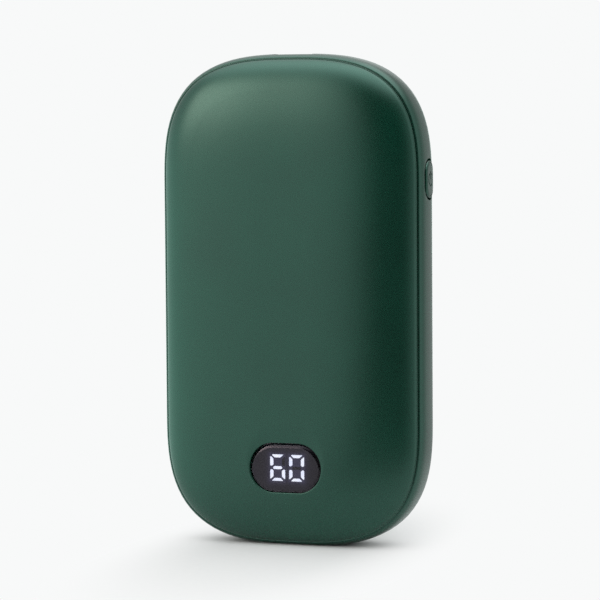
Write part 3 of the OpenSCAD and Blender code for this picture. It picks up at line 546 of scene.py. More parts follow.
def round_cut_edges(piece, width, inside, segments=3):
    """Rounds the edges between a cut and the old skin whose middle passes the test inside."""
    open_alone(piece)
    bpy.ops.mesh.select_mode(type="EDGE")
    bpy.ops.mesh.select_all(action="DESELECT")
    mesh = bmesh.from_edit_mesh(piece.data)
    count = 0
    for edge in mesh.edges:
        marks = {marked(piece, face) for face in edge.link_faces}
        middle = (edge.verts[0].co + edge.verts[1].co) / 2 / MM
        if len(marks) == 2 and inside(middle.x, middle.y, middle.z - CENTRE):
            edge.select_set(True)
            count += 1
    bmesh.update_edit_mesh(piece.data)
    if count:
        bpy.ops.mesh.bevel(offset=width * MM, segments=segments, affect="EDGES", clamp_overlap=True)
    bpy.ops.object.mode_set(mode="OBJECT")
    print(piece.name, "rounded edges:", count)


# Each test takes in the edges near one opening
round_cut_edges(rear_case, HOLE_EDGE, lambda x, y, z: x > 30 and abs(z - BUTTON_RISE) < 6)
round_cut_edges(rear_case, SLOT_EDGE, lambda x, y, z: z < 1 - CENTRE and abs(x) < 6 and abs(y) < 3)
round_cut_edges(rear_case, RECESS_EDGE, lambda x, y, z: z > RECESS_FLOOR + 0.5 and abs(x) < 6 and y > -4)
smooth(rear_case)

# %% [markdown]
# The smoked window.
# It is one clear moulding: a lens with a thin flange behind it that is glued to the cover. Its face
# bulges a little. Its rim is polished off in a shallow curve, wide along the top and narrow elsewhere,
# which mirrors the room's dark opening on the upper right and its lit panel on the upper left. It is
# drawn as a stack of outlines, each a share of the way from the face's edge to the rim's edge.

# %% Window lens
LENS_COUNT = 96
LENS_FACE = 9.2
LENS_BACK = 7.8
LENS_FLANGE = 8.25
FACE_BULGE = 0.12
FACE_RINGS = (0.5, 0.75, 0.9, 0.97)
RIM_NARROW = 0.22
RIM_EXTRA = 0.68
RIM_SWELL = 0.7
# Each row: share of the way over the rim, and the drop there for each millimetre of the rim's width
RIM_STEPS = ((0, 0), (0.12, 0.04), (0.35, 0.14), (0.65, 0.28), (1, 0.46))


def lens_ring(share, drop=0.0):
    """A ring on the lens: up to 1 on its bulging face, from 1 to 2 over its rim."""
    row = []
    for edge in window_ring(-LENS_GAP, LENS_FACE, LENS_COUNT):
        x, z = edge.x / MM, edge.z / MM - CENTRE + WINDOW_DROP
        spine = min(max(x, (WINDOW[1] - WINDOW[0]) / 2), (WINDOW[0] - WINDOW[1]) / 2)
        away = Vector((x - spine, z)).length
        width = RIM_NARROW + RIM_EXTRA * max(0.0, z / away) ** RIM_SWELL
        over = max(0.0, share - 1)
        reach = (1 - (1 - over) * width / away) * min(1.0, share)
        x, z = spine * min(1.0, share) + (x - spine) * reach, z * reach
        sunk = FACE_BULGE * (2 * x / WINDOW[0]) ** 2 + drop * width
        row.append(place(x, sunk - LENS_FACE, z - WINDOW_DROP))
    return row


lens_rings = [lens_ring(share) for share in FACE_RINGS]
lens_rings += [lens_ring(1 + over, drop) for over, drop in RIM_STEPS]
lens_rings += [window_ring(grow, level, LENS_COUNT) for grow, level in
               ((-LENS_GAP, LENS_FLANGE), (FLANGE_RIM, LENS_FLANGE), (FLANGE_RIM, LENS_BACK))]
window_lens = lofted("window_lens", lens_rings)
smooth(window_lens)

# %% [markdown]
# The digits.
# Each digit of such a display is seven short light guides set flush in a black block. Moulded ones
# have rounded corners. One segment is drawn as a flat outline, its corners are bevelled, and it is
# extruded to its depth. The glowing twelve are joined to one piece and the dark two to another.

# %% One segment
DIGIT = (3.42, 5.95)
DIGIT_PITCH = 4.55
SEGMENT = 0.62
SEGMENT_GAP = 0.4
SEGMENT_DEPTH = 0.5
SEGMENT_RADIUS = 0.16
DIGIT_DROP = WINDOW_DROP + 0.15
DISPLAY_FACE = LENS_BACK - 0.1


def segment_outline(number):
    """Corners of one segment: 0 top, 1 and 2 right, 3 bottom, 4 and 5 left, 6 middle."""
    e, h, t, k = DIGIT[0] / 2, DIGIT[1] / 2, SEGMENT, SEGMENT_GAP / 2
    level = [(-e + 2 * k, h), (e - 2 * k, h), (e - t - 2 * k, h - t), (-e + t + 2 * k, h - t)]
    upright = [(e, h - 2 * k), (e - t, h - t - 2 * k), (e - t, t / 2 + 2 * k), (e - t / 2, 2 * k),
               (e, t / 2 + k)]
    middle = [(-e + t / 2 + 2 * k, 0), (-e + t + k, t / 2), (e - t - k, t / 2),
              (e - t / 2 - 2 * k, 0), (e - t - k, -t / 2), (-e + t + k, -t / 2)]
    shape = {0: level, 3: level, 6: middle}.get(number, upright)
    flip_x, flip_z = (-1 if number in (4, 5) else 1), (-1 if number in (2, 3, 4) else 1)
    return [(x * flip_x, z * flip_z) for x, z in shape]


def segment(number, digit):
    """One segment of a digit. digit is -1 for the left one and 1 for the right one."""
    points = segment_outline(number)
    bpy.ops.mesh.primitive_circle_add(vertices=len(points), radius=SEGMENT * MM, fill_type="NGON")
    bar = bpy.context.object
    for vertex, (x, z) in zip(bar.data.vertices, points):
        vertex.co = place(x + digit * DIGIT_PITCH / 2, -DISPLAY_FACE, z - DIGIT_DROP)
    bpy.ops.object.mode_set(mode="EDIT")
    bpy.ops.mesh.select_all(action="SELECT")
    bpy.ops.mesh.bevel(offset=SEGMENT_RADIUS * MM, segments=4, affect="VERTICES")
    bpy.ops.mesh.select_all(action="SELECT")
    bpy.ops.mesh.extrude_region_move(TRANSFORM_OT_translate={"value": (0, SEGMENT_DEPTH * MM, 0)})
    bpy.ops.mesh.select_all(action="SELECT")
    bpy.ops.mesh.normals_make_consistent(inside=False)
    bpy.ops.object.mode_set(mode="OBJECT")
    return bar


print("corners of an upright segment:", len(segment_outline(1)))

# %% Joining the segments
SIX, ZERO, EVERY = {0, 2, 3, 4, 5, 6}, {0, 1, 2, 3, 4, 5}, set(range(7))


def joined(name, pieces):
    bpy.ops.object.select_all(action="DESELECT")
    for piece in pieces:
        piece.select_set(True)
    bpy.context.view_layer.objects.active = pieces[0]
    bpy.ops.object.join()
    pieces[0].name = pieces[0].data.name = name
    return pieces[0]


def digits(name, left, right):
    """The given segments of both digits as one piece."""
    smooth(joined(name, [segment(n, -1) for n in left] + [segment(n, 1) for n in right]))


digits("lit_digits", SIX, ZERO)
digits("dark_digits", EVERY - SIX, EVERY - ZERO)

# %% [markdown]
# The power button.
# It is a moulded cap in the same paint as the case. Its face carries on the curve of the side, only a
# little proud of it, and its rim is well rounded. So it is built like the cover: slots of growing size
# laid on the side's curve, then over the rim, down its wall and out over the flange that holds it in.

# %% Power button
BUTTON = (5.75, 8.4)
BUTTON_PROUD = 0.25
BUTTON_RADIUS = 0.4
CAP_STEPS = 9
NUB = 2.6
NUB_LENGTH = 0.2
TOUCH = 0.05
FLANGE_THICK = 0.8
FLANGE_OUT = BUTTON_SEAT - TOUCH
FLANGE_IN = FLANGE_OUT - FLANGE_THICK


def skin_side(y, z, proud=0.0):
    """How far the right side of the case stands off its middle at y, z."""
    share = share_at(y, DEPTH + proud)
    up = max(abs(z) - STRAIGHT, 0) / ((CORNER_RUN + proud) * share)
    return (HALF_WIDTH + proud) * share * (1 - up ** OUTLINE_POWER) ** (1 / OUTLINE_POWER)


def button_ring(shrink, deep):
    points = side_obround(BUTTON[0] - 2 * shrink, BUTTON[1] - 2 * shrink)
    return [place(skin_side(y, z, BUTTON_PROUD) - deep, y, z) for y, z in points]


def side_ring(x, width, height):
    return [place(x, y, z) for y, z in side_obround(width, height)]


cap_flange = [side + 2 * BUTTON_FLANGE for side in BUTTON]
inner_half = BUTTON[0] / 2 - BUTTON_RADIUS
# The nub that meets the switch is a slot that is round but for a thousandth
rings = [side_ring(x, NUB - 0.001, NUB) for x in (FLANGE_IN - NUB_LENGTH, FLANGE_IN)]
rings += [side_ring(x, *sides) for x, sides in
          ((FLANGE_IN, cap_flange), (FLANGE_OUT, cap_flange), (FLANGE_OUT, BUTTON))]
rings += [button_ring(grow, deep) for deep, grow in quarter_round(BUTTON_RADIUS, 6)[::-1]]
rings += [button_ring(BUTTON_RADIUS + inner_half * i / CAP_STEPS, 0) for i in range(1, CAP_STEPS)]
button_cap = lofted("button_cap", rings)
button_cap.data.materials.append(bpy.data.materials["skin_mark"])
print("button cap:", len(rings), "rings")

# %% [markdown]
# The button's symbol.
# The usual sign for power, an open ring with a bar, is pressed into the cap. It is cut with blocks of
# that outline, and the cut's edge is softened, because paint fills a sharp one.

# %% Cutting the symbol
BUTTON_FACE = HALF_WIDTH + BUTTON_PROUD
ICON = 3.2
ICON_LINE = 0.4
ICON_DEPTH = 0.2
ICON_EDGE = 0.05
ICON_STEPS = 40
ICON_GAP = math.asin(1.5 * ICON_LINE / (ICON / 2 - ICON_LINE / 2))


def open_ring(radius, first, last):
    """An arc with both its ends."""
    end = (radius * math.sin(last), radius * math.cos(last))
    return arc((0, 0), radius, first, last, ICON_STEPS) + [end]


circle = open_ring(ICON / 2, ICON_GAP, 2 * math.pi - ICON_GAP)
circle += open_ring(ICON / 2 - ICON_LINE, 2 * math.pi - ICON_GAP, ICON_GAP)
bar_top = (ICON + ICON_LINE) / 2
bar = [(-ICON_LINE / 2, 0), (ICON_LINE / 2, 0), (ICON_LINE / 2, bar_top), (-ICON_LINE / 2, bar_top)]
for shape in (circle, bar):
    points = [(BUTTON_SET + a, BUTTON_RISE + b) for a, b in shape]
    boolean(button_cap, prism(points, BUTTON_FACE - ICON_DEPTH, BUTTON_FACE + 1, "x"))
round_cut_edges(button_cap, ICON_EDGE, lambda x, y, z: x > BUTTON_FACE - 0.1, 2)
smooth(button_cap)

# %% [markdown]
# The charging port.
# The socket is a steel sleeve bent from sheet, with a thin black tongue inside that carries rows of
# gilt contacts. The sleeve is a tube with a rounded mouth. One contact is modelled and copied.

# %% Port sleeve
PORT_STEEL = 0.3
PORT_MOUTH = 0.5 - CENTRE
PORT_LENGTH = 7.35
PORT_TOP = PORT_MOUTH + PORT_LENGTH
MOUTH_RADIUS = 0.08


def port_ring(shrink, z, count=64):
    return [place(x, y, z) for x, y in obround(PORT[0] - 2 * shrink, PORT[1] - 2 * shrink, count)]


port_sleeve = lofted("port_sleeve", [port_ring(shrink, z) for shrink, z in (
    (0, PORT_TOP), (0, PORT_MOUTH + MOUTH_RADIUS), (MOUTH_RADIUS, PORT_MOUTH),
    (PORT_STEEL - MOUTH_RADIUS, PORT_MOUTH), (PORT_STEEL, PORT_MOUTH + MOUTH_RADIUS),
    (PORT_STEEL, PORT_TOP - PORT_STEEL))])
smooth(port_sleeve, 50)

# %% Port tongue and contacts
TONGUE = (6.69, 0.7)
TONGUE_RADIUS = 0.12
TONGUE_SET_IN = 0.6
TONGUE_ROOT = 1.6
TONGUE_LOW = PORT_MOUTH + TONGUE_SET_IN
ROOT_LOW = PORT_TOP - PORT_STEEL - TONGUE_ROOT
ROOT_CLEARANCE = 0.01
OVERLAP = 1
CONTACT = (0.25, 0.04, 3.4)
CONTACT_RADIUS = 0.015
CONTACT_SET = 0.5
CONTACT_PITCH = 0.5
CONTACT_COUNT = 12


def rounded_box(name, size, middle, radius, segments=3):
    """A block with all its edges rounded."""
    block = box(size, middle)
    block.name = block.data.name = name
    bpy.ops.object.mode_set(mode="EDIT")
    bpy.ops.mesh.select_all(action="SELECT")
    bpy.ops.mesh.bevel(offset=radius * MM, segments=segments, affect="EDGES")
    bpy.ops.object.mode_set(mode="OBJECT")
    return block


port_tongue = rounded_box("port_tongue", (*TONGUE, ROOT_LOW - TONGUE_LOW + OVERLAP),
                          (0, 0, (TONGUE_LOW + ROOT_LOW + OVERLAP) / 2), TONGUE_RADIUS)
root = lofted("port_root", [port_ring(PORT_STEEL + ROOT_CLEARANCE, z)
                            for z in (ROOT_LOW, PORT_TOP - PORT_STEEL)])
boolean(port_tongue, root, "UNION")
smooth(port_tongue)
contact_middle = TONGUE_LOW + CONTACT_SET + CONTACT[2] / 2
contacts = [rounded_box("contact", CONTACT, ((i - (CONTACT_COUNT - 1) / 2) * CONTACT_PITCH,
                                             side * TONGUE[1] / 2, contact_middle), CONTACT_RADIUS, 1)
            for side in (-1, 1) for i in range(CONTACT_COUNT)]
joined("port_contacts", contacts)
print("contacts in the port:", len(contacts))

# %% [markdown]
# How the finishes are made.
# Every finish starts from what the real surface is, and gets its colour, gloss and grain from noise
# that is laid in space, so nothing is wrapped or stretched. Colours are written as on a screen and
# turned linear. A pattern's size is given in millimetres.

# %% Adding a node


def linear(hex_colour):
    """A screen colour such as #14453a as linear red, green, blue and a full alpha."""
    parts = [int(hex_colour[i:i + 2], 16) / 255 for i in (1, 3, 5)]
    return tuple(c / 12.92 if c <= 0.04045 else ((c + 0.055) / 1.055) ** 2.4 for c in parts) + (1,)


def output_of(source):
    """The first output in use of a node. A socket stands for itself."""
    if isinstance(source, bpy.types.NodeSocket):
        return source
    return next(socket for socket in source.outputs if socket.enabled)


def add(tree, kind, inputs=(), feeds=None, **settings):
    """Adds a node with its settings and links. Each input, in order or by name, is a plain value, or the
    node or socket that feeds it. feeds is the socket that the new node feeds."""
    node = tree.nodes.new("ShaderNode" + kind)
    for key, value in settings.items():
        setattr(node, key, value)
    for key, value in inputs.items() if isinstance(inputs, dict) else enumerate(inputs):
        if isinstance(value, (bpy.types.Node, bpy.types.NodeSocket)):
            tree.links.new(output_of(value), node.inputs[key])
        else:
            node.inputs[key].default_value = value
    if feeds:
        tree.links.new(output_of(node), feeds)
    return node


print("the darkest paint, linear:", [round(c, 4) for c in linear("#032d20")[:3]])

# %% Patterns and plain finishes
finishes = {}
# Noise hardly leaves this range, so it is spread from here over the values that are wanted
NOISE_RANGE = (0.3, 0.7)


def new_finish(slot, name, **surface):
    """A named material with one shader, whose plain values stand on its own sockets."""
    material = bpy.data.materials.new(name)
    material.use_nodes = True
    tree = material.node_tree
    tree.nodes.clear()
    shader = add(tree, "BsdfPrincipled", {key.replace("_", " "): value for key, value in surface.items()})
    add(tree, "OutputMaterial", {"Surface": shader})
    finishes[slot] = material
    return tree, shader


def mottled(tree, size, detail=2.0, stretch=(1, 1, 1), offset=(0, 0, 0)):
    """Lumps of a size in millimetres, laid in the piece's own space and drawn out by stretch."""
    where = add(tree, "TexCoord").outputs["Object"]
    scale = [1 / (size * MM * s) for s in stretch]
    laid = add(tree, "Mapping", {"Vector": where, "Scale": scale, "Location": offset})
    return add(tree, "TexNoise", {"Vector": laid, "Scale": 1.0, "Detail": detail})


def two_tones(tree, pattern, tones, feeds):
    """Lets a pattern lead a colour from one tone to another."""
    share = add(tree, "MapRange", (pattern, *NOISE_RANGE))
    tones = [linear(tone) for tone in tones]
    add(tree, "Mix", {"Factor": share, "A": tones[0], "B": tones[1]}, feeds, data_type="RGBA")


def usual_finish(slot, name, tones, gloss, lumps, grain, depth=None, stretch=(1, 1, 1), **surface):
    """Colour and roughness that drift over lumps, and a grain of a size and depth on top."""
    tree, shader = new_finish(slot, name, **surface)
    if tones:
        two_tones(tree, mottled(tree, lumps, stretch=stretch), tones, shader.inputs["Base Color"])
    fine = mottled(tree, grain, 1.0, stretch, (3, 5, 7))
    add(tree, "MapRange", (fine, *NOISE_RANGE, *gloss), shader.inputs["Roughness"])
    if depth:
        add(tree, "Bump", {"Height": fine, "Distance": depth * MM}, shader.inputs["Normal"])
    return tree, shader


# %% [markdown]
# The paint of the case.
# Both shells and the button are ABS, sprayed with a soft-touch polyurethane. It is a deep bottle
# green, and its matting agent makes it rubbery and dull: the room shows in it as a soft veil. Much of
# that veil is scattered by pigment close under the surface, so it is tinted green, and stronger than
# on a clear plastic. Sprayed paint has a faint orange peel, a few millimetres wide, and a grain of
# matting powder, drawn at a third of a millimetre because its real size couldn't be seen.

# %% Soft-touch paint
PAINT = ("#032d20", "#053426")
PAINT_GLOSS = (0.24, 0.3)
VEIL_TINT = (0.56, 1.0, 0.86, 1)
PAINT_CLOUD = 14
ORANGE_PEEL = (3.5, 0.0035)
POWDER_GRAIN = (0.3, 0.0022)
tree, shader = new_finish("soft_touch_green", "soft_touch_polyurethane_paint", IOR=1.7,
                          Specular_Tint=VEIL_TINT)
two_tones(tree, mottled(tree, PAINT_CLOUD), PAINT, shader.inputs["Base Color"])
powder = mottled(tree, POWDER_GRAIN[0], offset=(2, 4, 6))
add(tree, "MapRange", (powder, *NOISE_RANGE, *PAINT_GLOSS), shader.inputs["Roughness"])
peel = add(tree, "Bump", {"Height": mottled(tree, ORANGE_PEEL[0]), "Distance": ORANGE_PEEL[1] * MM})
add(tree, "Bump", {"Height": powder, "Distance": POWDER_GRAIN[1] * MM, "Normal": peel},
    shader.inputs["Normal"])
print("nodes in the paint:", len(tree.nodes))

# %% [markdown]
# The window.
# The lens is acrylic, dyed dark grey, with a polished face that is never perfectly flat. A faint
# smear changes its gloss from place to place.

# %% Smoked window
SMOKE = (0.1, 0.1, 0.1, 1)
COOL_TINT = (0.88, 0.83, 0.97, 1)
SMEAR = 6
SMEAR_GLOSS = (0.01, 0.03)
WAVINESS = (2, 0.0006)
tree, shader = new_finish("smoked_window", "smoked_acrylic", IOR=1.49, Transmission_Weight=1.0,
                          Base_Color=SMOKE, Specular_Tint=COOL_TINT)
add(tree, "MapRange", (mottled(tree, SMEAR, 3.0), *NOISE_RANGE, *SMEAR_GLOSS), shader.inputs["Roughness"])
add(tree, "Bump", {"Height": mottled(tree, WAVINESS[0], 0.0), "Distance": WAVINESS[1] * MM},
    shader.inputs["Normal"])
print("share of light that enters the smoke:", SMOKE[0])

# %% [markdown]
# The light guides of the display.
# They are milky resin: the lit ones glow white with a touch of blue, and the two dark ones only show
# the grey of the resin behind the smoked window.

# %% Lit and dark segments
GLOW = 10.5
tree, shader = new_finish("lit_segment", "lit_milky_resin", IOR=1.5, Roughness=0.4,
                          Emission_Strength=GLOW)
glow = mottled(tree, 1.2, 1.0)
two_tones(tree, glow, ("#e9ecf2", "#f4f5f8"), shader.inputs["Base Color"])
two_tones(tree, glow, ("#e2e7ff", "#eef2ff"), shader.inputs["Emission Color"])
usual_finish("unlit_segment", "unlit_milky_resin", ("#1c1d20", "#232428"), (0.4, 0.5), 1, 0.1, 0.002,
             IOR=1.5)
print("a lit segment glows as", GLOW, "times white")

# %% [markdown]
# The block of the display.
# It is black, so that only the guides are seen. Close to a digit a faint violet glow is painted on it,
# emitted by the block itself in place of light that spreads from the guides. The painted glow falls
# off with the distance from the box that each digit fills, and the brighter of the two counts.

# %% Display block with a painted halo glow
# Reach in millimetres and strength of the violet glow that is painted on the block round the digits
PAINTED_HALO_REACH = 0.55
PAINTED_HALO_STRENGTH = 0.5
tree, shader = usual_finish("black_display_body", "black_display_moulding", ("#171018", "#1c141d"),
                            (0.5, 0.6), 3, 0.15, 0.001, IOR=1.5, Emission_Strength=1.0)
where = add(tree, "TexCoord").outputs["Object"]
painted_halos = []
for digit in (-1, 1):
    middle = place(digit * DIGIT_PITCH / 2, 0, -DIGIT_DROP)
    half = (DIGIT[0] / 2 * MM, 1, DIGIT[1] / 2 * MM)
    moved = add(tree, "VectorMath", (where, middle), operation="SUBTRACT")
    size = add(tree, "VectorMath", (moved,), operation="ABSOLUTE")
    beyond = add(tree, "VectorMath", (size, half), operation="SUBTRACT")
    outside = add(tree, "VectorMath", (beyond, (0, 0, 0)), operation="MAXIMUM")
    far = add(tree, "VectorMath", (outside,), operation="LENGTH")
    power = add(tree, "Math", (far, -1 / (PAINTED_HALO_REACH * MM)), operation="MULTIPLY")
    painted_halos.append(add(tree, "Math", (power,), operation="EXPONENT"))
brighter_painted_halo = add(tree, "Math", painted_halos, operation="MAXIMUM")
# The painted glow: violet emission from the block, strongest next to a digit
painted_halo_violet = tuple(c * PAINTED_HALO_STRENGTH for c in linear("#b9b4ff")[:3]) + (1,)
add(tree, "Mix", {"Factor": brighter_painted_halo, "A": (0, 0, 0, 1), "B": painted_halo_violet}, shader.inputs["Emission Color"],
    data_type="RGBA")
print("halo, linear:", [round(c, 2) for c in painted_halo_violet[:3]])

# %% [markdown]
# Metals.
# They keep the default refraction, and differ in tint and in how they were made. Drawn and rolled
# ones have fine lines along their length, plated ones are cloudy, and the polished bar is brightest.
# A row gives two tones, the range of roughness, the width of the clouds, the width and the depth of
# the grain, and how far lumps are drawn out along each axis.

# %% Metal finishes
METALS = (
    ("port_steel", "drawn_stainless_steel", ("#b4b6b8", "#c3c5c6"), (0.2, 0.34), 3, 0.12, 0.0015,
     (6, 6, 1)),
    ("bar_steel", "polished_stainless_steel", ("#c2c4c6", "#cdcfd0"), (0.12, 0.2), 2, 0.1, 0.0008,
     (12, 1, 1)),
    ("zinc_screw", "blue_passivated_zinc", ("#a9b2bb", "#bcc2c4"), (0.28, 0.42), 0.8, 0.1, 0.002),
    ("nickel_strip", "rolled_nickel", ("#b5ada0", "#c1b9ac"), (0.25, 0.38), 2, 0.1, 0.0015, (8, 8, 1)),
    ("gold_pin", "gilt_brass", ("#d6a94b", "#e2bd68"), (0.18, 0.3), 0.6, 0.08, 0.001),
    ("spreader_aluminium", "rolled_aluminium", ("#c9cacb", "#d6d7d8"), (0.3, 0.45), 8, 0.15, 0.002,
     (1, 1, 40)))
for row in METALS:
    usual_finish(*row, Metallic=1.0)
print("finishes so far:", len(finishes))

# %% [markdown]
# The pouch of the cell.
# It is laminated foil, pressed round its stack, which leaves shallow dents a centimetre wide.

# %% Pouch foil
DENTS = (11, 0.12)
tree, shader = usual_finish("cell_foil", "laminated_pouch_foil", ("#b9bbbc", "#c6c8c9"), (0.32, 0.46), 12,
                            0.3, Metallic=1.0)
dents = mottled(tree, DENTS[0], 1.0, offset=(1, 1, 1))
add(tree, "Bump", {"Height": dents, "Distance": DENTS[1] * MM}, shader.inputs["Normal"])
print("dents of", DENTS[0], "mm, up to", DENTS[1], "mm deep")

# %% [markdown]
# Plastics and rubber inside the case.
# Connectors are natural nylon, which lets a little light in. The tongue of the socket is nylon with
# glass fibre, whose ends show as a fine grain. The carrier is black ABS from a spark-eroded mould,
# chips are matt epoxy, and the leads have glossy PVC. The tape that holds the lens is the dullest.

# %% Finishes of the plastics inside
usual_finish("ivory_nylon", "natural_nylon", ("#ddd6c2", "#e6e0cf"), (0.42, 0.55), 4, 0.15, 0.003,
             IOR=1.53, Subsurface_Weight=0.15, Subsurface_Scale=0.001)
usual_finish("black_nylon", "glass_filled_black_nylon", ("#131315", "#1b1b1d"), (0.4, 0.58), 2, 0.08,
             0.004, (1, 1, 3), IOR=1.53)
DULL = (
    ("black_adhesive", "black_acrylic_foam_tape", ("#080808", "#0e0e0f"), (0.75, 0.9), 2, 0.2, 0.01),
    ("carrier_abs", "spark_textured_black_abs", ("#1e2023", "#26292c"), (0.5, 0.65), 10, 0.2, 0.012),
    ("chip_epoxy", "moulded_chip_epoxy", ("#161618", "#1d1d1f"), (0.5, 0.68), 1.5, 0.1, 0.004),
    ("ferrite", "sintered_ferrite", ("#2c2b2d", "#3a383a"), (0.55, 0.75), 1.2, 0.15, 0.012),
    ("ceramic_body", "fired_capacitor_ceramic", ("#a98a63", "#bb9d76"), (0.3, 0.45), 0.6, 0.1, 0.003),
    ("blue_epoxy", "dipped_blue_epoxy", ("#20407e", "#2b4f92"), (0.2, 0.3), 0.7, 0.3, 0.006))
for row in DULL:
    usual_finish(*row)
LEADS = {"red": ("#a81712", "#b8221b"), "black": ("#141415", "#1c1c1e"),
         "white": ("#d9d9d6", "#e5e5e2"), "blue": ("#1c3f9c", "#254bad")}
for colour, tones in LEADS.items():
    usual_finish(colour + "_wire", colour + "_pvc_sleeve", tones, (0.25, 0.38), 3, 0.25, 0.004,
                 (1, 1, 4), IOR=1.53)
print("finishes so far:", len(finishes))

# %% [markdown]
# Insulation foam.
# The pads keep the heaters' warmth off the cell. They are foam with open cells, drawn as cells of
# seven tenths of a millimetre whose middles lie deepest.

# %% Foam
FOAM_CELL = 0.7
FOAM_DEPTH = 0.25
tree, shader = usual_finish("white_foam", "open_cell_foam", ("#cfd4d3", "#e0e4e2"), (0.85, 0.95), 6, 0.3)
where = add(tree, "TexCoord").outputs["Object"]
cells = add(tree, "TexVoronoi", {"Vector": where, "Scale": 1 / (FOAM_CELL * MM)})
add(tree, "Bump", {"Height": cells.outputs["Distance"], "Distance": FOAM_DEPTH * MM},
    shader.inputs["Normal"])
print("foam cells to the millimetre:", round(1 / FOAM_CELL, 1))

# %% [markdown]
# Boards and heaters.
# A board is glass fibre under green solder mask, and its copper tracks show as slightly raised, paler
# lines. A heater is a thin track of metal between two films of amber polyimide, laid in tight loops.
# Both are bands of a wave, drawn at the pitch of the real tracks.

# %% Board and heater finishes
# At a scale of 1 the wave's bands repeat after 2 pi / 20
WAVE = 2 * math.pi / 20
BAND_EDGE = 0.06


def tracks(tree, shader, pitch, direction, tones, depth, duty):
    """Parallel bands at a pitch in millimetres, in the second tone and raised."""
    where = add(tree, "TexCoord").outputs["Object"]
    wave = add(tree, "TexWave", {"Vector": where, "Scale": WAVE / (pitch * MM)},
               wave_type="BANDS", bands_direction=direction).outputs["Fac"]
    band = add(tree, "MapRange", (wave, duty - BAND_EDGE, duty + BAND_EDGE))
    add(tree, "Mix", {"Factor": band, "A": linear(tones[0]), "B": linear(tones[1])},
        shader.inputs["Base Color"], data_type="RGBA")
    add(tree, "Bump", {"Height": band, "Distance": depth * MM}, shader.inputs["Normal"])


board = usual_finish("green_laminate", "solder_masked_laminate", None, (0.22, 0.35), None, 0.25,
                     IOR=1.55)
tracks(*board, pitch=0.8, direction="X", tones=("#0f4f2b", "#1d6b3c"), depth=0.02, duty=0.72)
film = usual_finish("amber_film", "amber_polyimide_film", None, (0.2, 0.32), None, 0.4, IOR=1.7)
tracks(*film, pitch=2.4, direction="Z", tones=("#b46a1c", "#7d4a22"), depth=0.03, duty=0.5)
print("finishes:", len(finishes))

# %% [markdown]
# What carries what.
# Each new piece rides on the body of the solid that it stands for, and hides that solid.

# %% Riding and replacing
new_pieces = {
    "front_cover": ("case", "front_shell", "soft_touch_green"),
    "rear_case": ("case", "rear_shell", "soft_touch_green"),
    "window_lens": ("case", "display_lens", "smoked_window"),
    "lit_digits": ("case", "lit_segments", "lit_segment"),
    "dark_digits": ("case", "unlit_segments", "unlit_segment"),
    "button_cap": ("button", "power_button", "soft_touch_green"),
    "port_sleeve": ("case", "usb_c_shell", "port_steel"),
    "port_tongue": ("case", "usb_c_tongue", "black_nylon"),
    "port_contacts": ("case", None, "gold_pin"),
}
for name, (body, node, slot) in new_pieces.items():
    piece = bpy.data.objects[name]
    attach(piece, body)
    if node:
        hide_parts(node)
    piece.data.materials.clear()
    piece.data.materials.append(finishes[slot])
    for face in piece.data.polygons:
        face.material_index = 0
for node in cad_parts:
    solid = bpy.data.objects.get(node)
    if solid and solid.type == "MESH":
        for slot in solid.material_slots:
            key = slot.material.name.split(".")[0]
            if key in finishes:
                slot.material = finishes[key]
print("pieces that ride:", len(new_pieces))

# %% [markdown]
# Where the camera stands.
# The camera looks from the front, a little from the right and a little from above. Its distance and
# lens were found by matching the outline, the seam and the window's corners to where they lie in the
# picture. From the two angles come the camera's own axes, and a slight tilt turns them.

# %% Camera
TURN_RIGHT = math.radians(19.243)
RISE = math.radians(4.030)
TILT = math.radians(-0.4038)
DISTANCE = 612.905
AIM = (0.5789, 0, 0.0294)
FOCAL_LENGTH = 161.229


def direction(turn, rise):
    """The way to something that stands turned to the right of the front, and raised."""
    level = math.cos(rise)
    return Vector((math.sin(turn) * level, -math.cos(turn) * level, math.sin(rise)))


back = direction(TURN_RIGHT, RISE)
level_right = Vector((math.cos(TURN_RIGHT), math.sin(TURN_RIGHT), 0))
level_up = back.cross(level_right)
cam_right = level_right * math.cos(TILT) + level_up * math.sin(TILT)
cam_up = level_up * math.cos(TILT) - level_right * math.sin(TILT)
camera = bpy.data.objects.new("camera", bpy.data.cameras.new("camera"))
bpy.context.collection.objects.link(camera)
camera.data.lens = FOCAL_LENGTH
camera.data.sensor_width = 36
camera.data.clip_end = 20
axes = Matrix((cam_right, cam_up, back)).transposed().to_4x4()
camera.matrix_world = Matrix.Translation(place(*AIM) + back * DISTANCE * MM) @ axes
bpy.context.scene.camera = camera
bpy.context.scene.view_settings.view_transform = "Standard"
print("camera at", [round(v, 3) for v in camera.location])

# %% [markdown]
# The parts of the white room.
# Such goods are photographed in a white tent that is open at the front, where the camera stands. Its
# white shows in the paint as a pale veil, and the dark opening as a dark band along the rounded edge.
# The wall on the left is lit, and the right side behind the opening is dimmer. Each part is a range
# of directions with soft ends, given in degrees turned to the right of the front, and in the upward
# share of the direction, from 0 on the level to 1 overhead.

# %% Parts of the room
OPENING_LEFT, OPENING_RIGHT = (-15, -1), (30, 90)
LEFT_WALL_TURN = (-25, -95)
LEFT_WALL = 0.74
RIGHT_SIDE_TURN = (95, 125)
RIGHT_DIM = 0.42
SMOOTH = {"interpolation_type": "SMOOTHSTEP"}


def between(tree, value, low, high):
    """Rises from 0 to 1 between the two values low, and falls back between the two values high."""
    rise = add(tree, "MapRange", (value, *low), **SMOOTH)
    fall = add(tree, "MapRange", (value, *high, 1.0, 0.0), **SMOOTH)
    return add(tree, "Math", (rise, fall), operation="MULTIPLY")


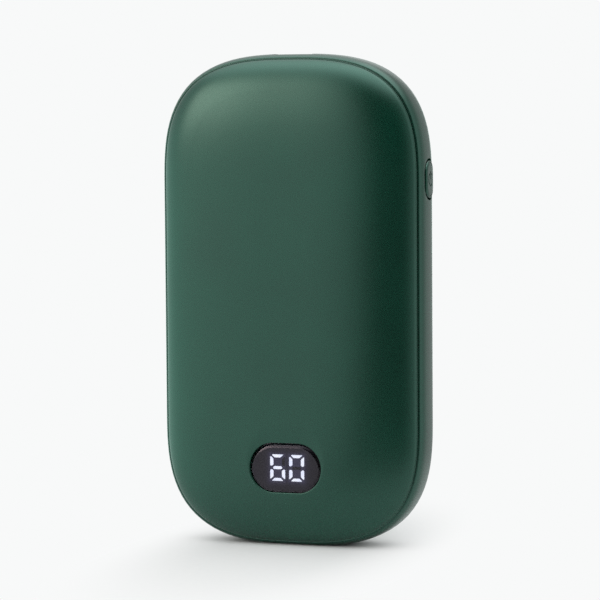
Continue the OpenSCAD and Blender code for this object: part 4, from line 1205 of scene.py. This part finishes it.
def turn_and_height(tree, vector):
    """How far a direction is turned from the front, in degrees, and how high it points."""
    xyz = add(tree, "SeparateXYZ", (vector,)).outputs
    front = add(tree, "Math", (xyz["Y"], -1.0), operation="MULTIPLY")
    turn = add(tree, "Math", (xyz["X"], front), operation="ARCTAN2")
    return add(tree, "Math", (turn, 180 / math.pi), operation="MULTIPLY"), xyz["Z"]


def left_wall(tree, turn):
    """The white wall on the left is lit more the further it reaches back."""
    return add(tree, "MapRange", (turn, *LEFT_WALL_TURN, 0.0, LEFT_WALL), **SMOOTH)


def right_side(tree, turn):
    """How much darker than white the room is on the right, behind the opening."""
    return add(tree, "MapRange", (turn, *RIGHT_SIDE_TURN, 0.0, RIGHT_DIM), **SMOOTH)


def straight(tree, ray):
    """1 for what the camera sees directly or through the window."""
    return add(tree, "Math", (ray["Is Camera Ray"], ray["Is Transmission Ray"]), operation="MAXIMUM")


# %% [markdown]
# The light of the room.
# A lit panel on the upper left is the dull shine in that corner of the case, and the lit roof
# brightens its upper edge. The world makes them all, because a reflection meets it by direction alone.
# The paint's veil stays green at the case's very edge, where a shader's own tint fades to white, so
# the left wall, which shows there, is tinted green for reflections. What the room sheds on a matt
# surface follows the same levels at a smaller share, and seen directly the tent is plain white.

# %% World
BACKDROP = linear("#f8f9f9")
AMBIENT = 0.28
AMBIENT_SHARE = 0.41
OPENING_TOP = (0.46, 0.78)
PANEL = (2.0, 1.66, 1.5, 1)
PANEL_TURN = (-67, -49), (-25, -7)
PANEL_HEIGHT = (-0.08, 0.32), (0.37, 0.77)
ROOF = 2.4
ROOF_HEIGHT = (0.56, 0.94)
ROOF_TURN = (-110, -20, 0.45, 1.0)
LEFT_WALL_TOP = (-0.05, 0.25)
LEFT_TINT = (0.42, 1, 0.8, 1)
world = bpy.data.worlds.new("white_tent")
bpy.context.scene.world = world
world.use_nodes = True
tree = world.node_tree
tree.nodes.clear()
ray = add(tree, "LightPath").outputs
turn, height = turn_and_height(tree, add(tree, "TexCoord").outputs["Generated"])
low_enough = add(tree, "MapRange", (height, *OPENING_TOP, 1.0, 0.0), **SMOOTH)
opening = between(tree, turn, OPENING_LEFT, OPENING_RIGHT)
opening = add(tree, "Math", (opening, low_enough), operation="MULTIPLY")
dark = add(tree, "Math", (opening, right_side(tree, turn)), operation="MAXIMUM")
overhead = add(tree, "MapRange", (height, *ROOF_HEIGHT), **SMOOTH)
roof = add(tree, "MapRange", (turn, *ROOF_TURN), **SMOOTH)
roof = add(tree, "Math", (overhead, roof), operation="MULTIPLY")
roof = add(tree, "Math", (roof, ROOF), operation="MULTIPLY")
level = add(tree, "Math", (1.0, dark), operation="SUBTRACT")
level = add(tree, "Math", (level, roof), operation="ADD")
low_wall = add(tree, "MapRange", (height, *LEFT_WALL_TOP, 1.0, 0.0), **SMOOTH)
wall = add(tree, "Math", (left_wall(tree, turn), low_wall), operation="MULTIPLY")
panel = add(tree, "Math", (between(tree, turn, *PANEL_TURN), between(tree, height, *PANEL_HEIGHT)),
            operation="MULTIPLY")
shed = add(tree, "Math", (level, wall), operation="ADD")
shed = add(tree, "Math", (shed, AMBIENT_SHARE, AMBIENT), operation="MULTIPLY_ADD")
strength = add(tree, "Mix", {"Factor": ray["Is Glossy Ray"], "A": shed, "B": level}, data_type="FLOAT")
strength = add(tree, "Mix", {"Factor": straight(tree, ray), "A": strength, "B": 1.0}, data_type="FLOAT")
light = add(tree, "Background", (BACKDROP, strength))
for colour, shape in ((PANEL, panel), (LEFT_TINT, wall)):
    mirrored = add(tree, "Math", (shape, ray["Is Glossy Ray"]), operation="MULTIPLY")
    light = add(tree, "AddShader", (light, add(tree, "Background", (colour, mirrored))))
add(tree, "OutputWorld", {"Surface": light})
print("nodes in the world:", len(tree.nodes))

# %% [markdown]
# Two weak soft boxes.
# The tent gives most of the light. A box over the object and one in front on the left add just enough
# to model the form. Each is given by where it stands, seen from the object, its size and how bright
# its cloth is.

# %% Lamps


def soft_box(name, turn, rise, distance, width, height, brightness, colour=(1, 1, 1)):
    """An area lamp that faces the middle of the case. brightness is that of its cloth, 1 is white."""
    lamp = bpy.data.lights.new(name, "AREA")
    lamp.shape, lamp.size, lamp.size_y = "RECTANGLE", width, height
    lamp.energy = brightness * math.pi * width * height
    lamp.color = colour
    holder = bpy.data.objects.new(name, lamp)
    bpy.context.collection.objects.link(holder)
    way = direction(math.radians(turn), math.radians(rise))
    holder.location = place(0, 0, 0) + way * distance
    holder.rotation_euler = (-way).to_track_quat("-Z", "Y").to_euler()
    print(name, "at", [round(v, 2) for v in holder.location], "power", round(lamp.energy, 2))


soft_box("side_box", -41, 22, 1.2, 0.62, 0.5, 1.5, (1, 0.83, 0.75))
soft_box("top_box", -60, 68, 1.2, 1.0, 1.0, 0.3)

# %% [markdown]
# The floor.
# It is a wide pale sheet. Near the object it is a plain matt surface that takes the shadow. A few
# centimetres off it turns into the backdrop's own white for whoever looks at it, so no edge shows.
# Mirrored in the paint it carries on the levels of the room: dark below the opening and on the right,
# and tinted on the left.

# %% Floor
FLOOR_RADIUS = 3
SHADOW_MIDDLE = (0, 0.015, 0)
SHADOW_SHAPE = (1, 0.36, 1)
SHADOW_FADE = (0.012, 0.037)
MIRROR_FADE = (0, 0.16)
MIRROR_DARK = (0.1, 0.1, 0.1, 1)
PAPER_FIBRE = 1.5
bpy.ops.mesh.primitive_circle_add(vertices=96, radius=FLOOR_RADIUS, fill_type="NGON")
floor = bpy.context.object
floor.name = floor.data.name = "floor"
paper = bpy.data.materials.new("white_paper_sweep")
paper.use_nodes = True
tree = paper.node_tree
tree.nodes.clear()
where = add(tree, "TexCoord").outputs["Object"]
ray = add(tree, "LightPath").outputs
mirrored = ray["Is Glossy Ray"]
nearer = add(tree, "VectorMath", (where, SHADOW_MIDDLE), operation="ADD")
narrowed = add(tree, "VectorMath", (nearer, SHADOW_SHAPE), operation="MULTIPLY")
aside = add(tree, "VectorMath", (narrowed,), operation="LENGTH")
distance = add(tree, "VectorMath", (where,), operation="LENGTH")
seen_fade = add(tree, "MapRange", (aside, *SHADOW_FADE), **SMOOTH)
seen_fade = add(tree, "Math", (seen_fade, straight(tree, ray)), operation="MULTIPLY")
mirror_fade = add(tree, "MapRange", (distance, *MIRROR_FADE), **SMOOTH)
mirror_fade = add(tree, "Math", (mirror_fade, mirrored), operation="MULTIPLY")
fade = add(tree, "Math", (seen_fade, mirror_fade), operation="MAXIMUM")
turn = turn_and_height(tree, where)[0]
opening = between(tree, turn, OPENING_LEFT, OPENING_RIGHT)
dark = add(tree, "Math", (opening, right_side(tree, turn)), operation="MAXIMUM")
dark = add(tree, "Math", (dark, mirrored), operation="MULTIPLY")
far_colour = add(tree, "Mix", {"Factor": dark, "A": BACKDROP, "B": MIRROR_DARK}, data_type="RGBA")
bright = add(tree, "Math", (left_wall(tree, turn), mirrored), operation="MULTIPLY")
far = add(tree, "Emission", (far_colour,))
far = add(tree, "AddShader", (far, add(tree, "Emission", (LEFT_TINT, bright))))
matt = add(tree, "BsdfDiffuse")
two_tones(tree, mottled(tree, PAPER_FIBRE, 3.0), ("#f5f6f6", "#f7f8f8"), matt.inputs["Color"])
add(tree, "OutputMaterial", {"Surface": add(tree, "MixShader", (fade, matt, far))})
floor.data.materials.append(paper)
print("nodes in the floor:", len(tree.nodes))
